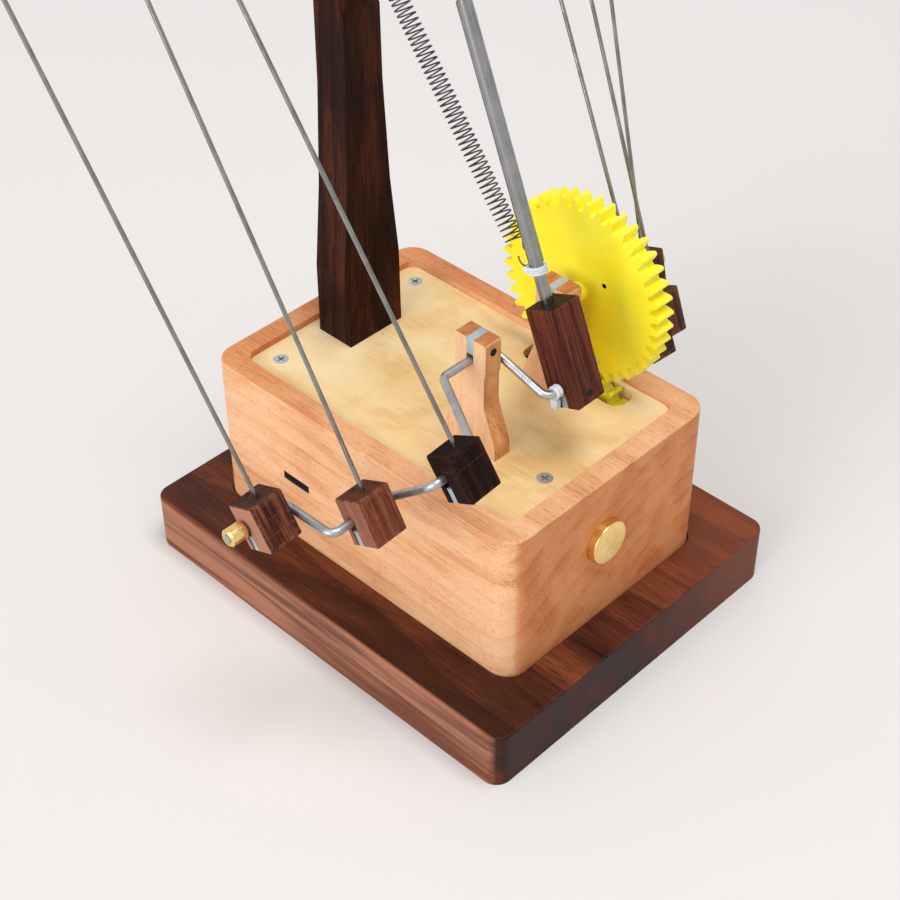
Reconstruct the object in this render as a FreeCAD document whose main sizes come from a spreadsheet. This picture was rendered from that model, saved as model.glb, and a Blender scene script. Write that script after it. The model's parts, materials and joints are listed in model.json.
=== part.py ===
import FreeCAD, Part
import math
import os
import re
import Sketcher
from FreeCAD import Vector

# Crank automaton: a walnut tray carries a beech box with a birch plate let into
# its top. Two posts carry a cranked wire along X, a small geared motor under the
# plate turns it through a yellow gear, and seven wooden blocks ride on its throws.
# Origin: centre of the tray's underside. +X along the wire, -Y is the button side.

doc = FreeCAD.newDocument("crank_automaton")
sheet = doc.addObject("Spreadsheet::Sheet", "Sizes")

SIZES = [
    # tray
    ("tray_width", 120.0), ("tray_length", 146.4), ("tray_thick", 19.1),
    ("tray_corner", 5.0), ("tray_edge", 0.8), ("recess_depth", 2.0), ("recess_gap", 0.4),
    # box
    ("box_width", 83.8), ("box_length", 120.0), ("box_height", 52.6), ("box_wall", 7.0),
    ("box_ledge", 3.0), ("box_floor", 6.0), ("box_corner", 7.0), ("box_edge", 0.8),
    ("boss_radius", 5.0),
    # top plate
    ("plate_thick", 3.0), ("plate_sink", 2.0), ("plate_gap", 0.1), ("plate_corner", 4.0),
    ("slot_width", 9.0), ("slot_half_length", 19.0), ("slot_corner", 3.5),
    # crank line
    ("crank_y", -21.7), ("crank_rise", 30.2), ("centre_x", 1.5), ("post_centre_x", 1.95),
    ("wire_radius", 1.2),
    ("running_gap", 0.05), ("bend_radius", 2.4),
    ("body_gap", 0.3),
    # posts
    ("post_spacing", 32.5), ("post_thick", 6.0), ("post_head_half", 5.75), ("post_neck_half", 5.2),
    ("post_foot_half", 9.6), ("post_head_rise", 7.3), ("post_neck_rise", 9.0), ("post_knee_height", 16.5),
    ("post_toe_height", 4.5), ("post_knee_round", 9.0), ("post_toe_round", 5.0), ("post_edge", 0.8),
    ("tenon_half", 4.0), ("tenon_thick", 4.0), ("journal_slot", 2.5), ("keeper_drop", 1.0),
    ("post_pin_rise", 4.1), ("post_pin_radius", 1.1), ("pin_proud", 0.2),
    # throws of the wire, from left to right: radius and angle from +Y towards +Z
    ("throw1_radius", 22.3), ("throw1_angle", -61.6), ("throw2_radius", 20.1), ("throw2_angle", -116.0),
    ("throw3_radius", 27.3), ("throw3_angle", -176.6), ("main_radius", 21.5), ("main_angle", -163.4),
    ("throw4_radius", 25.1), ("throw4_angle", -104.5), ("throw5_radius", 28.0), ("throw5_angle", -86.7),
    ("throw6_radius", 36.9), ("throw6_angle", -55.4),
    # clear run of wire between each block face and the corner of its arm
    ("run1_right", 2.6), ("run2_left", 6.75), ("run2_right", 3.05), ("run3_left", 4.35), ("run3_right", 1.45),
    ("axis_left", 16.3), ("arm_main_left", 5.25), ("arm_main_right", 4.65), ("axis_right", 3.0),
    ("run4_left", 2.75), ("run4_right", 2.5), ("run5_left", 2.5), ("run5_right", 2.75), ("run6_left", 2.75),
    # small blocks
    ("block_size", 10.5), ("block_height", 14.0), ("journal_low", 7.15), ("journal_offset", 2.0),
    ("rod_offset", 1.0), ("block_edge", 0.35), ("rod_radius", 0.6), ("rod_depth", 8.5), ("rod_top", 208.0),
    ("rod_eye_radius", 1.8), ("tilt_allowance", 0.55),
    ("block1_x", -84.0), ("lean1", 24.9), ("tilt1", 6.0),
    ("block2_x", -65.1), ("lean2", 26.6), ("tilt2", 2.9),
    ("block3_x", -49.9), ("lean3", 29.5), ("tilt3", 5.0),
    ("block4_x", 49.5), ("lean4", 27.2), ("tilt4", -5.0),
    ("block5_x", 65.0), ("lean5", 24.6), ("tilt5", -5.1),
    ("block6_x", 81.0), ("lean6", 17.6), ("tilt6", -5.4),
    # main block, its rod and sleeve
    ("main_width", 10.9), ("main_depth", 10.4), ("main_height", 29.1), ("main_low", 6.0), ("main_lean", 22.0),
    ("main_pin_rise", 2.8), ("main_pin_radius", 0.95), ("main_rod_radius", 1.725), ("main_rod_offset", 1.7),
    ("main_rod_depth", 8.0), ("main_rod_reach", 106.0), ("sleeve_radius", 2.1), ("sleeve_start", 34.6),
    ("sleeve_short", 0.8),
    # collars and ties
    ("collar_radius", 2.5), ("collar_length", 5.5), ("collar_gap", 0.75),
    ("wire_tie_width", 2.5), ("wire_tie_radius", 2.25), ("tie_head_width", 3.0), ("tie_head_length", 4.4),
    ("rod_tie_height", 32.6), ("rod_tie_width", 2.4), ("rod_tie_band", 1.0), ("rod_tie_reach", 5.5),
    ("rod_tie_back", 3.0), ("rod_tie_tilt", 35.0), ("rod_tie_room", 0.1),
    # gear, pinion and motor
    ("tooth_module", 1.375), ("gear_teeth", 40), ("pinion_teeth", 17), ("tooth_play", 0.12),
    ("gear_phase", 2.0), ("mesh_angle", -98.0), ("mesh_gap", 0.1), ("gear_gap", 6.0), ("gear_thick", 6.3),
    ("spacer_radius", 3.0), ("gear_hole_radius", 0.7), ("gear_hole_circle", 10.6), ("gear_hole_angle", 146.6),
    ("pinion_thick", 5.0), ("pinion_inset", 0.7), ("shaft_radius", 1.5), ("motor_gap", 1.7),
    ("gearbox_length", 9.0), ("motor_length", 15.0), ("motor_width", 12.0), ("motor_height", 10.0),
    ("bracket_thick", 1.2), ("bracket_ear", 6.8), ("motor_screw_radius", 0.8),
    ("motor_screw_length", 3.4),
    # column and the pin that holds the spring
    ("column_x", 1.7), ("column_y", 41.9), ("column_top", 123.3),
    ("column_half0", 10.5), ("column_deep0", 6.8), ("column_rise1", 24.3), ("column_half1", 11.0),
    ("column_deep1", 6.0), ("column_rise2", 50.3), ("column_half2", 8.3), ("column_rise3", 82.3),
    ("column_half3", 6.9), ("column_deep3", 5.7), ("column_slope_rise", 104.9),
    ("column_half4", 6.7), ("column_screw_radius", 1.5), ("column_screw_length", 16.0),
    ("column_screw_head", 2.8), ("column_screw_spacing", 11.0),
    ("eye_radius", 2.2), ("eye_wire", 0.6), ("eye_depth", 9.0), ("eye_back", 2.0),
    # spring
    ("spring_y", -20.1), ("spring_z", 126.5), ("spring_wire", 0.225), ("spring_coil", 2.4),
    ("spring_turns", 64.25), ("hook_radius", 2.4), ("hook_reach", 4.2), ("hook_room", 0.3),
    # button, socket and electronics
    ("button_radius", 6.85), ("button_proud", 2.7), ("button_x", -3.5), ("button_z", 48.0),
    ("button_head", 4.7), ("button_travel", 0.8), ("stem_radius", 1.8), ("stem_gap", 0.08),
    ("button_gap", 0.08), ("flange_radius", 2.8), ("flange_thick", 1.0), ("switch_size", 6.0),
    ("switch_thick", 3.5), ("housing_size", 8.2), ("housing_depth", 9.0), ("housing_wall", 0.9),
    ("usb_y", 25.1), ("usb_z", 41.5), ("usb_slot_length", 10.9), ("usb_slot_height", 2.9),
    ("usb_wall", 2.5), ("socket_width", 8.9), ("socket_height", 3.2), ("socket_length", 7.3),
    ("socket_room", 3.0), ("board_length", 26.0), ("board_width", 22.0), ("board_thick", 1.6),
    ("standoff_radius", 2.0), ("standoff_inset", 3.0),
    ("battery_width", 34.0), ("battery_length", 45.0), ("battery_thick", 6.0), ("battery_y", -17.0),
    # fasteners
    ("screw_head_radius", 2.35), ("screw_radius", 1.25), ("screw_cone", 1.1), ("screw_length", 12.0),
    ("screw_recess", 0.8), ("recess_cross", 0.55),
    ("screw1_x", -26.9), ("screw1_y", 46.1), ("screw2_x", 28.7), ("screw2_y", 45.7),
    ("screw3_x", -12.7), ("screw3_y", -45.7),
    ("tray_screw_x", 30.0), ("tray_screw_y", 48.0), ("tray_screw_radius", 1.75), ("tray_screw_head", 3.5),
    ("tray_screw_sink", 4.0), ("tray_screw_bite", 5.0),
]

for row, (alias, value) in enumerate(SIZES, start=1):
    sheet.set(f"A{row}", alias)
    sheet.set(f"B{row}", str(value))
    sheet.setAlias(f"B{row}", alias)
doc.recompute()

NAMES = {alias for alias, _ in SIZES}
NODES = {}

# Heights and places that follow from the sizes, written once and used in many formulas.
BOX_BASE = "(tray_thick - recess_depth)"
BOX_TOP = f"({BOX_BASE} + box_height)"
PLATE_TOP = f"({BOX_TOP} - plate_sink)"
PLATE_BASE = f"({PLATE_TOP} - plate_thick)"
CRANK_Z = f"({PLATE_TOP} + crank_rise)"
FLOOR_TOP = f"({BOX_BASE} + box_floor)"
INNER_X = "(box_width / 2 - box_wall - box_ledge)"
INNER_Y = "(box_length / 2 - box_wall - box_ledge)"
BORE = "(wire_radius + running_gap)"
POST_OUT = "(post_spacing / 2 + post_thick / 2)"
GEAR_X = f"(post_centre_x + {POST_OUT} + gear_gap)"
CENTRES = "((gear_teeth + pinion_teeth) * tooth_module / 2 + mesh_gap)"
PINION_Y = f"(crank_y + {CENTRES} * cos(mesh_angle))"
PINION_Z = f"({CRANK_Z} + {CENTRES} * sin(mesh_angle))"
PINION_X = f"({GEAR_X} - pinion_inset)"
MOTOR_END = f"({PINION_X} - motor_gap)"


def size(alias):
    return float(sheet.get(alias))


def formula(text):
    return re.sub(r"[A-Za-z_][A-Za-z0-9_]*",
                  lambda m: "Sizes." + m.group(0) if m.group(0) in NAMES else m.group(0), text)


def node(label, obj):
    obj.Label = label
    NODES[label] = obj
    return obj


def place(obj, at=("0", "0", "0"), turn=None):
    # turn is a formula text for a rotation, either three angles or an axis and an angle
    spot = "vector({}; {}; {})".format(*at)
    obj.setExpression("Placement", formula(f"placement({spot}; rotation({turn or '0; 0; 0'}))"))


TO_X = "vector(0; 1; 0); 90"
TO_Y = "vector(1; 0; 0); -90"
TO_MINUS_Y = "vector(1; 0; 0); 90"
GEAR_TURN = "vector(1; 1; 1); 120"


def shape(kind, name, sizes, at=("0", "0", "0"), turn=None, body=None):
    # one primitive, free or as a feature of a body
    obj = body.newObject("PartDesign::" + kind, name) if body else doc.addObject("Part::" + kind, name)
    for prop, text in sizes.items():
        obj.setExpression(prop, formula(text))
    place(obj, at, turn)
    return obj


def box(name, span, at, turn=None, body=None, kind="Box"):
    return shape(kind, name, dict(zip(("Length", "Width", "Height"), span)), at, turn, body)


def rod(name, radius, length, at, turn=None, body=None, kind="Cylinder"):
    return shape(kind, name, {"Radius": radius, "Height": length}, at, turn, body)


def cut(name, base, *tools):
    if len(tools) > 1:
        joined = doc.addObject("Part::MultiFuse", name + "_tools")
        joined.Shapes = list(tools)
        tools = (joined,)
    result = doc.addObject("Part::Cut", name)
    result.Base, result.Tool = base, tools[0]
    return result


def fuse(name, *parts):
    result = doc.addObject("Part::MultiFuse", name)
    result.Shapes = list(parts)
    return result


def group(name, parts):
    result = doc.addObject("Part::Compound", name)
    result.Links = list(parts)
    return result


def new_body(name, at=None, turn=None):
    body = doc.addObject("PartDesign::Body", name)
    if at or turn:
        place(body, at or ("0", "0", "0"), turn)
    return body


def plane(body, role):
    return [item for item in body.Origin.OriginFeatures if item.Role == role][0]


def outline(body, name, role, points):
    # closed polygon whose corners are each held by two formulas
    sketch = body.newObject("Sketcher::SketchObject", name)
    sketch.AttachmentSupport = [(plane(body, role), "")]
    sketch.MapMode = "FlatFace"
    count = len(points)
    for i in range(count):
        a, b = math.radians(360 * i / count), math.radians(360 * (i + 1) / count)
        sketch.addGeometry(Part.LineSegment(Vector(50 * math.cos(a), 50 * math.sin(a), 0),
                                            Vector(50 * math.cos(b), 50 * math.sin(b), 0)), False)
    for i in range(count):
        sketch.addConstraint(Sketcher.Constraint("Coincident", i, 2, (i + 1) % count, 1))
    for i, (px, py) in enumerate(points):
        for kind, text in (("DistanceX", px), ("DistanceY", py)):
            index = sketch.addConstraint(Sketcher.Constraint(kind, -1, 1, i, 1, 1.0 + i))
            sketch.setExpression(f"Constraints[{index}]", formula(text))
    doc.recompute()
    return sketch


def rectangle(body, name, width, length, at_x="0", at_y="0", role="XY_Plane"):
    x0, x1 = f"({at_x}) - ({width}) / 2", f"({at_x}) + ({width}) / 2"
    y0, y1 = f"({at_y}) - ({length}) / 2", f"({at_y}) + ({length}) / 2"
    return outline(body, name, role, [(x0, y0), (x1, y0), (x1, y1), (x0, y1)])


def pad(body, name, sketch, length, offset=None, both=False, kind="Pad"):
    if offset:
        sketch.setExpression("AttachmentOffset.Base.z", formula(offset))
    feature = body.newObject("PartDesign::" + kind, name)
    feature.Profile = sketch
    feature.setExpression("Length", formula(length))
    feature.Midplane = both
    doc.recompute()
    return feature


def soften(body, name, kind, amount, wanted):
    # rounds or bevels the edges of the body's tip that the test picks
    doc.recompute()
    tip = body.Tip
    picked = [f"Edge{i}" for i, edge in enumerate(tip.Shape.Edges, start=1) if wanted(edge)]
    feature = body.newObject("PartDesign::" + kind, name)
    feature.Base = (tip, picked)
    feature.setExpression("Radius" if kind == "Fillet" else "Size", formula(amount))
    doc.recompute()
    return feature


def upright(edge):
    ends = [v.Point for v in edge.Vertexes]
    return len(ends) == 2 and (ends[0] - ends[1]).normalize().isEqual(Vector(0, 0, 1), 1e-6) or (
        len(ends) == 2 and (ends[1] - ends[0]).normalize().isEqual(Vector(0, 0, 1), 1e-6))


def level_at(height):
    return lambda edge: all(abs(v.Point.z - height) < 1e-4 for v in edge.Vertexes)


def along_x(edge):
    ends = [v.Point for v in edge.Vertexes]
    return len(ends) == 2 and abs((ends[0] - ends[1]).normalize().x) > 0.999


# tray: solid slab with a shallow seat for the box and four counterbored screw holes
tray = new_body("tray_body")
pad(tray, "tray_pad", rectangle(tray, "tray_plan", "tray_width", "tray_length"), "tray_thick")
soften(tray, "tray_corners", "Fillet", "tray_corner", upright)
soften(tray, "tray_top_edge", "Fillet", "tray_edge", level_at(size("tray_thick")))
pad(tray, "tray_seat",
    rectangle(tray, "seat_plan", "box_width + 2 * recess_gap", "box_length + 2 * recess_gap"),
    "recess_depth", "tray_thick", kind="Pocket")
soften(tray, "seat_corners", "Fillet", "box_corner",
       lambda e: upright(e) and abs(e.Vertexes[0].Point.x) < size("box_width") / 2 + size("recess_gap")
       + 1e-3)
for sx in (-1, 1):
    for sy in (-1, 1):
        tag = f"{'lr'[sx > 0]}{'fb'[sy > 0]}"
        spot = (f"{sx} * tray_screw_x", f"{sy} * tray_screw_y")
        rod("tray_hole_" + tag, "tray_screw_radius", "tray_thick", (*spot, "0"), None, tray,
            "SubtractiveCylinder")
        rod("tray_sink_" + tag, "tray_screw_head + body_gap / 3", "tray_screw_sink", (*spot, "0"), None, tray,
            "SubtractiveCylinder")
node("base_tray", tray)

# box: walls round a deep well, with a rebate that the plate drops into
case = new_body("box_body", ("0", "0", BOX_BASE))
pad(case, "box_pad", rectangle(case, "box_plan", "box_width", "box_length"), "box_height")
soften(case, "box_corners", "Fillet", "box_corner", upright)
soften(case, "box_rim", "Fillet", "box_edge", level_at(size("box_height")))
pad(case, "rebate", rectangle(case, "rebate_plan", "box_width - 2 * box_wall", "box_length - 2 * box_wall"),
    "plate_sink + plate_thick", "box_height", kind="Pocket")
soften(case, "rebate_corners", "Fillet", "plate_corner",
       lambda e: upright(e) and abs(abs(e.Vertexes[0].Point.x) - size("box_width") / 2
                                    + size("box_wall")) < 1e-3)
pad(case, "well", rectangle(case, "well_plan", "2 * " + INNER_X, "2 * " + INNER_Y),
    "box_height - box_floor - plate_sink - plate_thick", "box_height - plate_sink - plate_thick",
    kind="Pocket")
for i in (1, 2, 3):
    sx, sy = f"screw{i}_x", f"screw{i}_y"
    out_y = f"({INNER_Y} + box_ledge / 2)"
    rise = "box_height - box_floor - plate_sink - plate_thick"
    rod(f"boss{i}", "boss_radius", rise, (sx, sy, "box_floor"), None, case, "AdditiveCylinder")
    box(f"boss{i}_web", ("2 * boss_radius", f"{out_y} - abs({sy})", rise),
        (f"{sx} - boss_radius", f"{sy} > 0 ? {sy} : -{out_y}", "box_floor"), None, case, "AdditiveBox")
    rod(f"boss{i}_hole", "screw_radius", "screw_length", (sx, sy, "box_height - plate_sink - screw_length"),
        None, case, "SubtractiveCylinder")
for sx in (-1, 1):
    for sy in (-1, 1):
        rod(f"floor_hole_{'lr'[sx > 0]}{'fb'[sy > 0]}", "tray_screw_radius", "tray_screw_bite",
            (f"{sx} * tray_screw_x", f"{sy} * tray_screw_y", "0"), None, case, "SubtractiveCylinder")
usb_level = f"(usb_z - {BOX_BASE})"
box("usb_slot", ("box_wall + box_ledge", "usb_slot_length", "usb_slot_height"),
    ("-box_width / 2", "usb_y - usb_slot_length / 2", f"{usb_level} - usb_slot_height / 2"), None, case,
    "SubtractiveBox")
box("usb_pocket",
    ("box_wall + box_ledge - usb_wall", "socket_width + 2 * socket_room", "socket_height + 2 * socket_room"),
    ("-box_width / 2 + usb_wall", "usb_y - socket_width / 2 - socket_room",
     f"{usb_level} - socket_height / 2 - socket_room"), None, case, "SubtractiveBox")
button_level = f"(button_z - {BOX_BASE})"
rod("button_sink", "button_radius + button_gap", "button_head - button_proud + button_travel + body_gap",
    ("button_x", "-box_length / 2", button_level), TO_Y, case, "SubtractiveCylinder")
rod("stem_hole", "stem_radius + stem_gap", "box_wall + box_ledge",
    ("button_x", "-box_length / 2", button_level),
    TO_Y, case, "SubtractiveCylinder")
node("box_frame", case)

# plate: thin birch with the pinion slot, two mortises and three countersunk holes
plate = new_body("plate_body", ("0", "0", PLATE_BASE))
pad(plate, "plate_pad", rectangle(plate, "plate_plan", "box_width - 2 * box_wall - 2 * plate_gap",
                                  "box_length - 2 * box_wall - 2 * plate_gap"), "plate_thick")
soften(plate, "plate_corners", "Fillet", "plate_corner - plate_gap", upright)
slot_mid = f"({PINION_X} + pinion_thick / 2 - slot_width / 10)"
pad(plate, "pinion_slot",
    rectangle(plate, "slot_plan", "slot_width", "2 * slot_half_length", slot_mid, "crank_y"),
    "plate_thick", "plate_thick", kind="Pocket")
soften(plate, "slot_corners", "Fillet", "slot_corner",
       lambda e: upright(e) and abs(e.Vertexes[0].Point.y - size("crank_y")) < size("slot_half_length") + 1e-3
       and e.Vertexes[0].Point.x > size("centre_x") + size("post_spacing") / 2)
for side, sign in (("left", "-"), ("right", "+")):
    box(f"mortise_{side}", ("tenon_thick", "2 * tenon_half", "plate_thick"),
        (f"post_centre_x {sign} post_spacing / 2 - tenon_thick / 2", "crank_y - tenon_half", "0"), None,
        plate,
        "SubtractiveBox")
for i in (1, 2, 3):
    spot = (f"screw{i}_x", f"screw{i}_y")
    rod(f"plate_hole{i}", "screw_radius", "plate_thick", (*spot, "0"), None, plate, "SubtractiveCylinder")
    shape("SubtractiveCone", f"plate_cone{i}",
          {"Radius1": "screw_radius", "Radius2": "screw_head_radius", "Height": "screw_cone"},
          (*spot, "plate_thick - screw_cone"), None, plate)
for i in (-1, 1):
    rod(f"column_hole{'lr'[i > 0]}", "column_screw_radius", "plate_thick",
        (f"column_x + {i} * column_screw_spacing / 2", "column_y", "0"), None, plate, "SubtractiveCylinder")
for i in (-1, 1):
    rod(f"motor_hole{'fb'[i > 0]}", "motor_screw_radius", "motor_screw_length - bracket_thick",
        (f"{MOTOR_END} - gearbox_length / 2",
         f"{PINION_Y} + {i} * (motor_width / 2 + bracket_thick + bracket_ear / 2)",
         "0"), None, plate, "SubtractiveCylinder")
node("top_plate", plate)


def cross_screw(name, at, head, shank, cone, length):
    # countersunk screw with a cross recess, head face at the given point, pointing down
    top = shape("Cone", name + "_head", {"Radius1": shank, "Radius2": head, "Height": cone},
                (at[0], at[1], f"{at[2]} - ({cone})"))
    stem = rod(name + "_shank", shank, f"({length}) - ({cone})", (at[0], at[1], f"{at[2]} - ({length})"))
    bars = [box(f"{name}_bar{k}", (a, b, "screw_recess"),
                (f"{at[0]} - ({a}) / 2", f"{at[1]} - ({b}) / 2", f"{at[2]} - screw_recess"))
            for k, (a, b) in enumerate((("1.1 * " + head, "recess_cross"),
                                        ("recess_cross", "1.1 * " + head)))]
    return cut(name, fuse(name + "_solid", top, stem), *bars)


node("plate_screws", group("plate_screw_set", [
    cross_screw(f"plate_screw{i}", (f"screw{i}_x", f"screw{i}_y", PLATE_TOP), "screw_head_radius",
                "screw_radius", "screw_cone", "screw_length") for i in (1, 2, 3)]))

tray_screws = []
for sx in (-1, 1):
    for sy in (-1, 1):
        tag = f"{'lr'[sx > 0]}{'fb'[sy > 0]}"
        spot = (f"{sx} * tray_screw_x", f"{sy} * tray_screw_y")
        head = rod("tray_head_" + tag, "tray_screw_head", "tray_screw_sink / 2",
                   (*spot, "tray_screw_sink / 2"))
        stem = rod("tray_stem_" + tag, "tray_screw_radius", f"{BOX_BASE} + tray_screw_bite - tray_screw_sink",
                   (*spot, "tray_screw_sink"))
        socket = rod("tray_socket_" + tag, "tray_screw_head / 2", "tray_screw_sink / 4",
                     (*spot, "tray_screw_sink / 2"))
        tray_screws.append(cut("tray_screw_" + tag, fuse("tray_bolt_" + tag, head, stem), socket))
node("tray_screws", group("tray_screw_set", tray_screws))

# posts: waisted uprights with a tenon below and a slot from the top down to the wire
for side, sign in (("left", "-"), ("right", "+")):
    post = new_body(f"post_{side}_body", (f"post_centre_x {sign} post_spacing / 2", "crank_y", PLATE_TOP))
    half = [("post_foot_half", "0"), ("post_foot_half - 0.1", "post_toe_height"),
            ("post_neck_half", "post_knee_height"),
            ("post_neck_half", "crank_rise - post_neck_rise / 2"),
            ("post_head_half", "crank_rise - post_neck_rise / 4"),
            ("post_head_half", "crank_rise + post_head_rise")]
    corners = half + [(f"-({py})", pz) for py, pz in reversed(half)]
    pad(post, f"post_{side}_pad", outline(post, f"post_{side}_profile", "YZ_Plane", corners), "post_thick",
        both=True)
    knee, toe = size("post_knee_height"), size("post_toe_height")
    soften(post, f"post_{side}_knees", "Fillet", "post_knee_round",
           lambda e: along_x(e) and abs(e.Vertexes[0].Point.z - knee) < 1e-3)
    soften(post, f"post_{side}_toes", "Fillet", "post_toe_round",
           lambda e: along_x(e) and abs(e.Vertexes[0].Point.z - toe) < 1e-3)
    soften(post, f"post_{side}_top", "Fillet", "post_edge",
           lambda e: along_x(e) and abs(e.Vertexes[0].Point.z - size("crank_rise")
                                        - size("post_head_rise")) < 1e-3)
    box(f"post_{side}_tenon", ("tenon_thick", "2 * tenon_half", "plate_thick"),
        ("-tenon_thick / 2", "-tenon_half", "-plate_thick"), None, post, "AdditiveBox")
    rod(f"post_{side}_bore", BORE, "2 * post_thick", ("-post_thick", "0", "crank_rise"), TO_X, post,
        "SubtractiveCylinder")
    box(f"post_{side}_slot", ("2 * post_thick", "journal_slot", "2 * post_head_rise"),
        ("-post_thick", "-journal_slot / 2", "crank_rise"), None, post, "SubtractiveBox")
    rod(f"post_{side}_pinhole", "post_pin_radius", "4 * post_head_half",
        ("0", "-2 * post_head_half", "crank_rise + post_pin_rise"), TO_Y, post, "SubtractiveCylinder")
    node(f"post_{side}", post)
    at_x = f"post_centre_x {sign} post_spacing / 2"
    strip = box(f"post_{side}_strip",
                ("post_thick", "journal_slot", "post_head_rise - wire_radius - keeper_drop"),
                (f"{at_x} - post_thick / 2", "crank_y - journal_slot / 2",
                 f"{CRANK_Z} + wire_radius + keeper_drop"))
    hole = rod(f"post_{side}_strip_hole", "post_pin_radius", "2 * journal_slot",
               (at_x, "crank_y - journal_slot", f"{CRANK_Z} + post_pin_rise"), TO_Y)
    node(f"post_keeper_{side}", cut(f"post_{side}_keeper", strip, hole))
    node(f"post_pin_{side}", rod(f"post_{side}_pin", "post_pin_radius", "2 * post_head_half + pin_proud",
                                 (at_x, "crank_y - post_head_half - pin_proud", f"{CRANK_Z} + post_pin_rise"),
                                 TO_Y))

# cranked wire: one length of round wire, straight runs joined by tangent bends
AXIS = (size("crank_y"), size("tray_thick") - size("recess_depth") + size("box_height") - size("plate_sink")
        + size("crank_rise"))


def throw(name):
    radius, angle = size(name + "_radius"), math.radians(size(name + "_angle"))
    return AXIS[0] + radius * math.cos(angle), AXIS[1] + radius * math.sin(angle)


def journal(name):
    # the same point as throw, as formula texts
    return (f"(crank_y + {name}_radius * cos({name}_angle))",
            f"({CRANK_Z} + {name}_radius * sin({name}_angle))")


half_block, half_main = size("block_size") / 2, size("main_width") / 2
left = {i: size(f"block{i}_x") - half_block for i in range(1, 7)}
right = {i: size(f"block{i}_x") + half_block for i in range(1, 7)}
mid = size("centre_x")
wire_points = [
    (left[1] - size("collar_gap") - size("collar_length"), throw("throw1")),
    (right[1] + size("run1_right"), throw("throw1")), (left[2] - size("run2_left"), throw("throw2")),
    (right[2] + size("run2_right"), throw("throw2")), (left[3] - size("run3_left"), throw("throw3")),
    (right[3] + size("run3_right"), throw("throw3")),
    (size("post_centre_x") - size("post_spacing") / 2 - size("axis_left") + size("post_thick") / 2, AXIS),
    (mid - half_main - size("arm_main_left"), AXIS), (mid - half_main - size("arm_main_left"), throw("main")),
    (mid + half_main + size("arm_main_right"), throw("main")),
    (mid + half_main + size("arm_main_right"), AXIS),
    (left[4] - size("run4_left") - size("axis_right"), AXIS), (left[4] - size("run4_left"), throw("throw4")),
    (right[4] + size("run4_right"), throw("throw4")), (left[5] - size("run5_left"), throw("throw5")),
    (right[5] + size("run5_right"), throw("throw5")), (left[6] - size("run6_left"), throw("throw6")),
    (right[6] + size("collar_gap") + size("collar_length"), throw("throw6")),
]
corners = [Vector(px, *yz) for px, yz in wire_points]


def bent_wire(points, radius, bend):
    edges, length = [], 0.0
    start = points[0]
    for before, corner, after in zip(points, points[1:], points[2:]):
        a, b = (before - corner).normalize(), (after - corner).normalize()
        turn = math.pi - a.getAngle(b)
        reach = bend * math.tan(turn / 2)
        p, q = corner + a * reach, corner + b * reach
        middle = corner + (a + b).normalize() * (bend / math.cos(turn / 2) - bend)
        edges.append(Part.LineSegment(start, p).toShape())
        edges.append(Part.Arc(p, middle, q).toShape())
        length += (p - start).Length + bend * turn
        start = q
    edges.append(Part.LineSegment(start, points[-1]).toShape())
    length += (points[-1] - start).Length
    path = Part.Wire(edges)
    ring = Part.Wire([Part.Circle(points[0], (points[1] - points[0]).normalize(), radius).toShape()])
    solid = path.makePipeShell([ring], True, False)
    print("wire volume against section times length",
          round(solid.Volume / (math.pi * radius ** 2 * length), 5))
    return solid


wire = doc.addObject("Part::Feature", "crank_wire")
wire.Shape = bent_wire(corners, size("wire_radius"), size("bend_radius"))
node("crankshaft", wire)

# collars at both ends of the wire
for side, name, start in (("left", "throw1", "block1_x - block_size / 2 - collar_gap - collar_length"),
                          ("right", "throw6", "block6_x + block_size / 2 + collar_gap")):
    jy, jz = journal(name)
    tube = rod(f"collar_{side}_outer", "collar_radius", "collar_length - 0.2", (f"{start} + 0.1", jy, jz),
               TO_X)
    hole = rod(f"collar_{side}_inner", "wire_radius", "collar_length + 1", (start, jy, jz), TO_X)
    node(f"collar_{side}", cut(f"collar_{side}_cut", tube, hole))


# gears: involute flanks as smooth curves, all in one outline
def toothed_disc(teeth, phase, thick, bore):
    module, play = size("tooth_module"), size("tooth_play")
    pitch = module * teeth / 2
    base, tip, root = pitch * math.cos(math.radians(20)), pitch + module, pitch - 1.25 * module
    involute = lambda a: math.tan(a) - a
    at_pitch = math.pi / (2 * teeth) - play / pitch / 2
    rounding = 0.25 * module

    def half_angle(radius):
        radius = max(radius, base)
        return at_pitch + involute(math.radians(20)) - involute(math.acos(base / radius))

    def spot(radius, angle):
        return Vector(radius * math.cos(angle), radius * math.sin(angle), 0)

    heights = [root + (tip - rounding - root) * k / 4 for k in range(5)]
    edges = []
    step = 2 * math.pi / teeth
    for k in range(teeth):
        middle = phase + k * step
        rising = [spot(r, middle - half_angle(r)) for r in heights]
        falling = [spot(r, middle + half_angle(r)) for r in reversed(heights)]
        for flank in (rising, falling):
            curve = Part.BSplineCurve()
            curve.interpolate(flank)
            edges.append(curve.toShape())
        edges.insert(-1, Part.Arc(rising[-1], spot(tip, middle), falling[0]).toShape())
        after = spot(root, middle + step - half_angle(root))
        edges.append(Part.Arc(falling[-1], spot(root, middle + step / 2), after).toShape())
    face = Part.Face(Part.Wire(edges))
    disc = face.extrude(Vector(0, 0, thick))
    return disc.cut(Part.makeCylinder(bore, thick))


def numbers(texts):
    # the value of each formula text, read back from a cell of the sheet
    for i, text in enumerate(texts, start=1):
        sheet.set(f"D{i}", "=" + text)
    doc.recompute()
    values = [float(sheet.get(f"D{i}")) for i in range(1, len(texts) + 1)]
    for i in range(1, len(texts) + 1):
        sheet.clear(f"D{i}")
    return values


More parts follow.
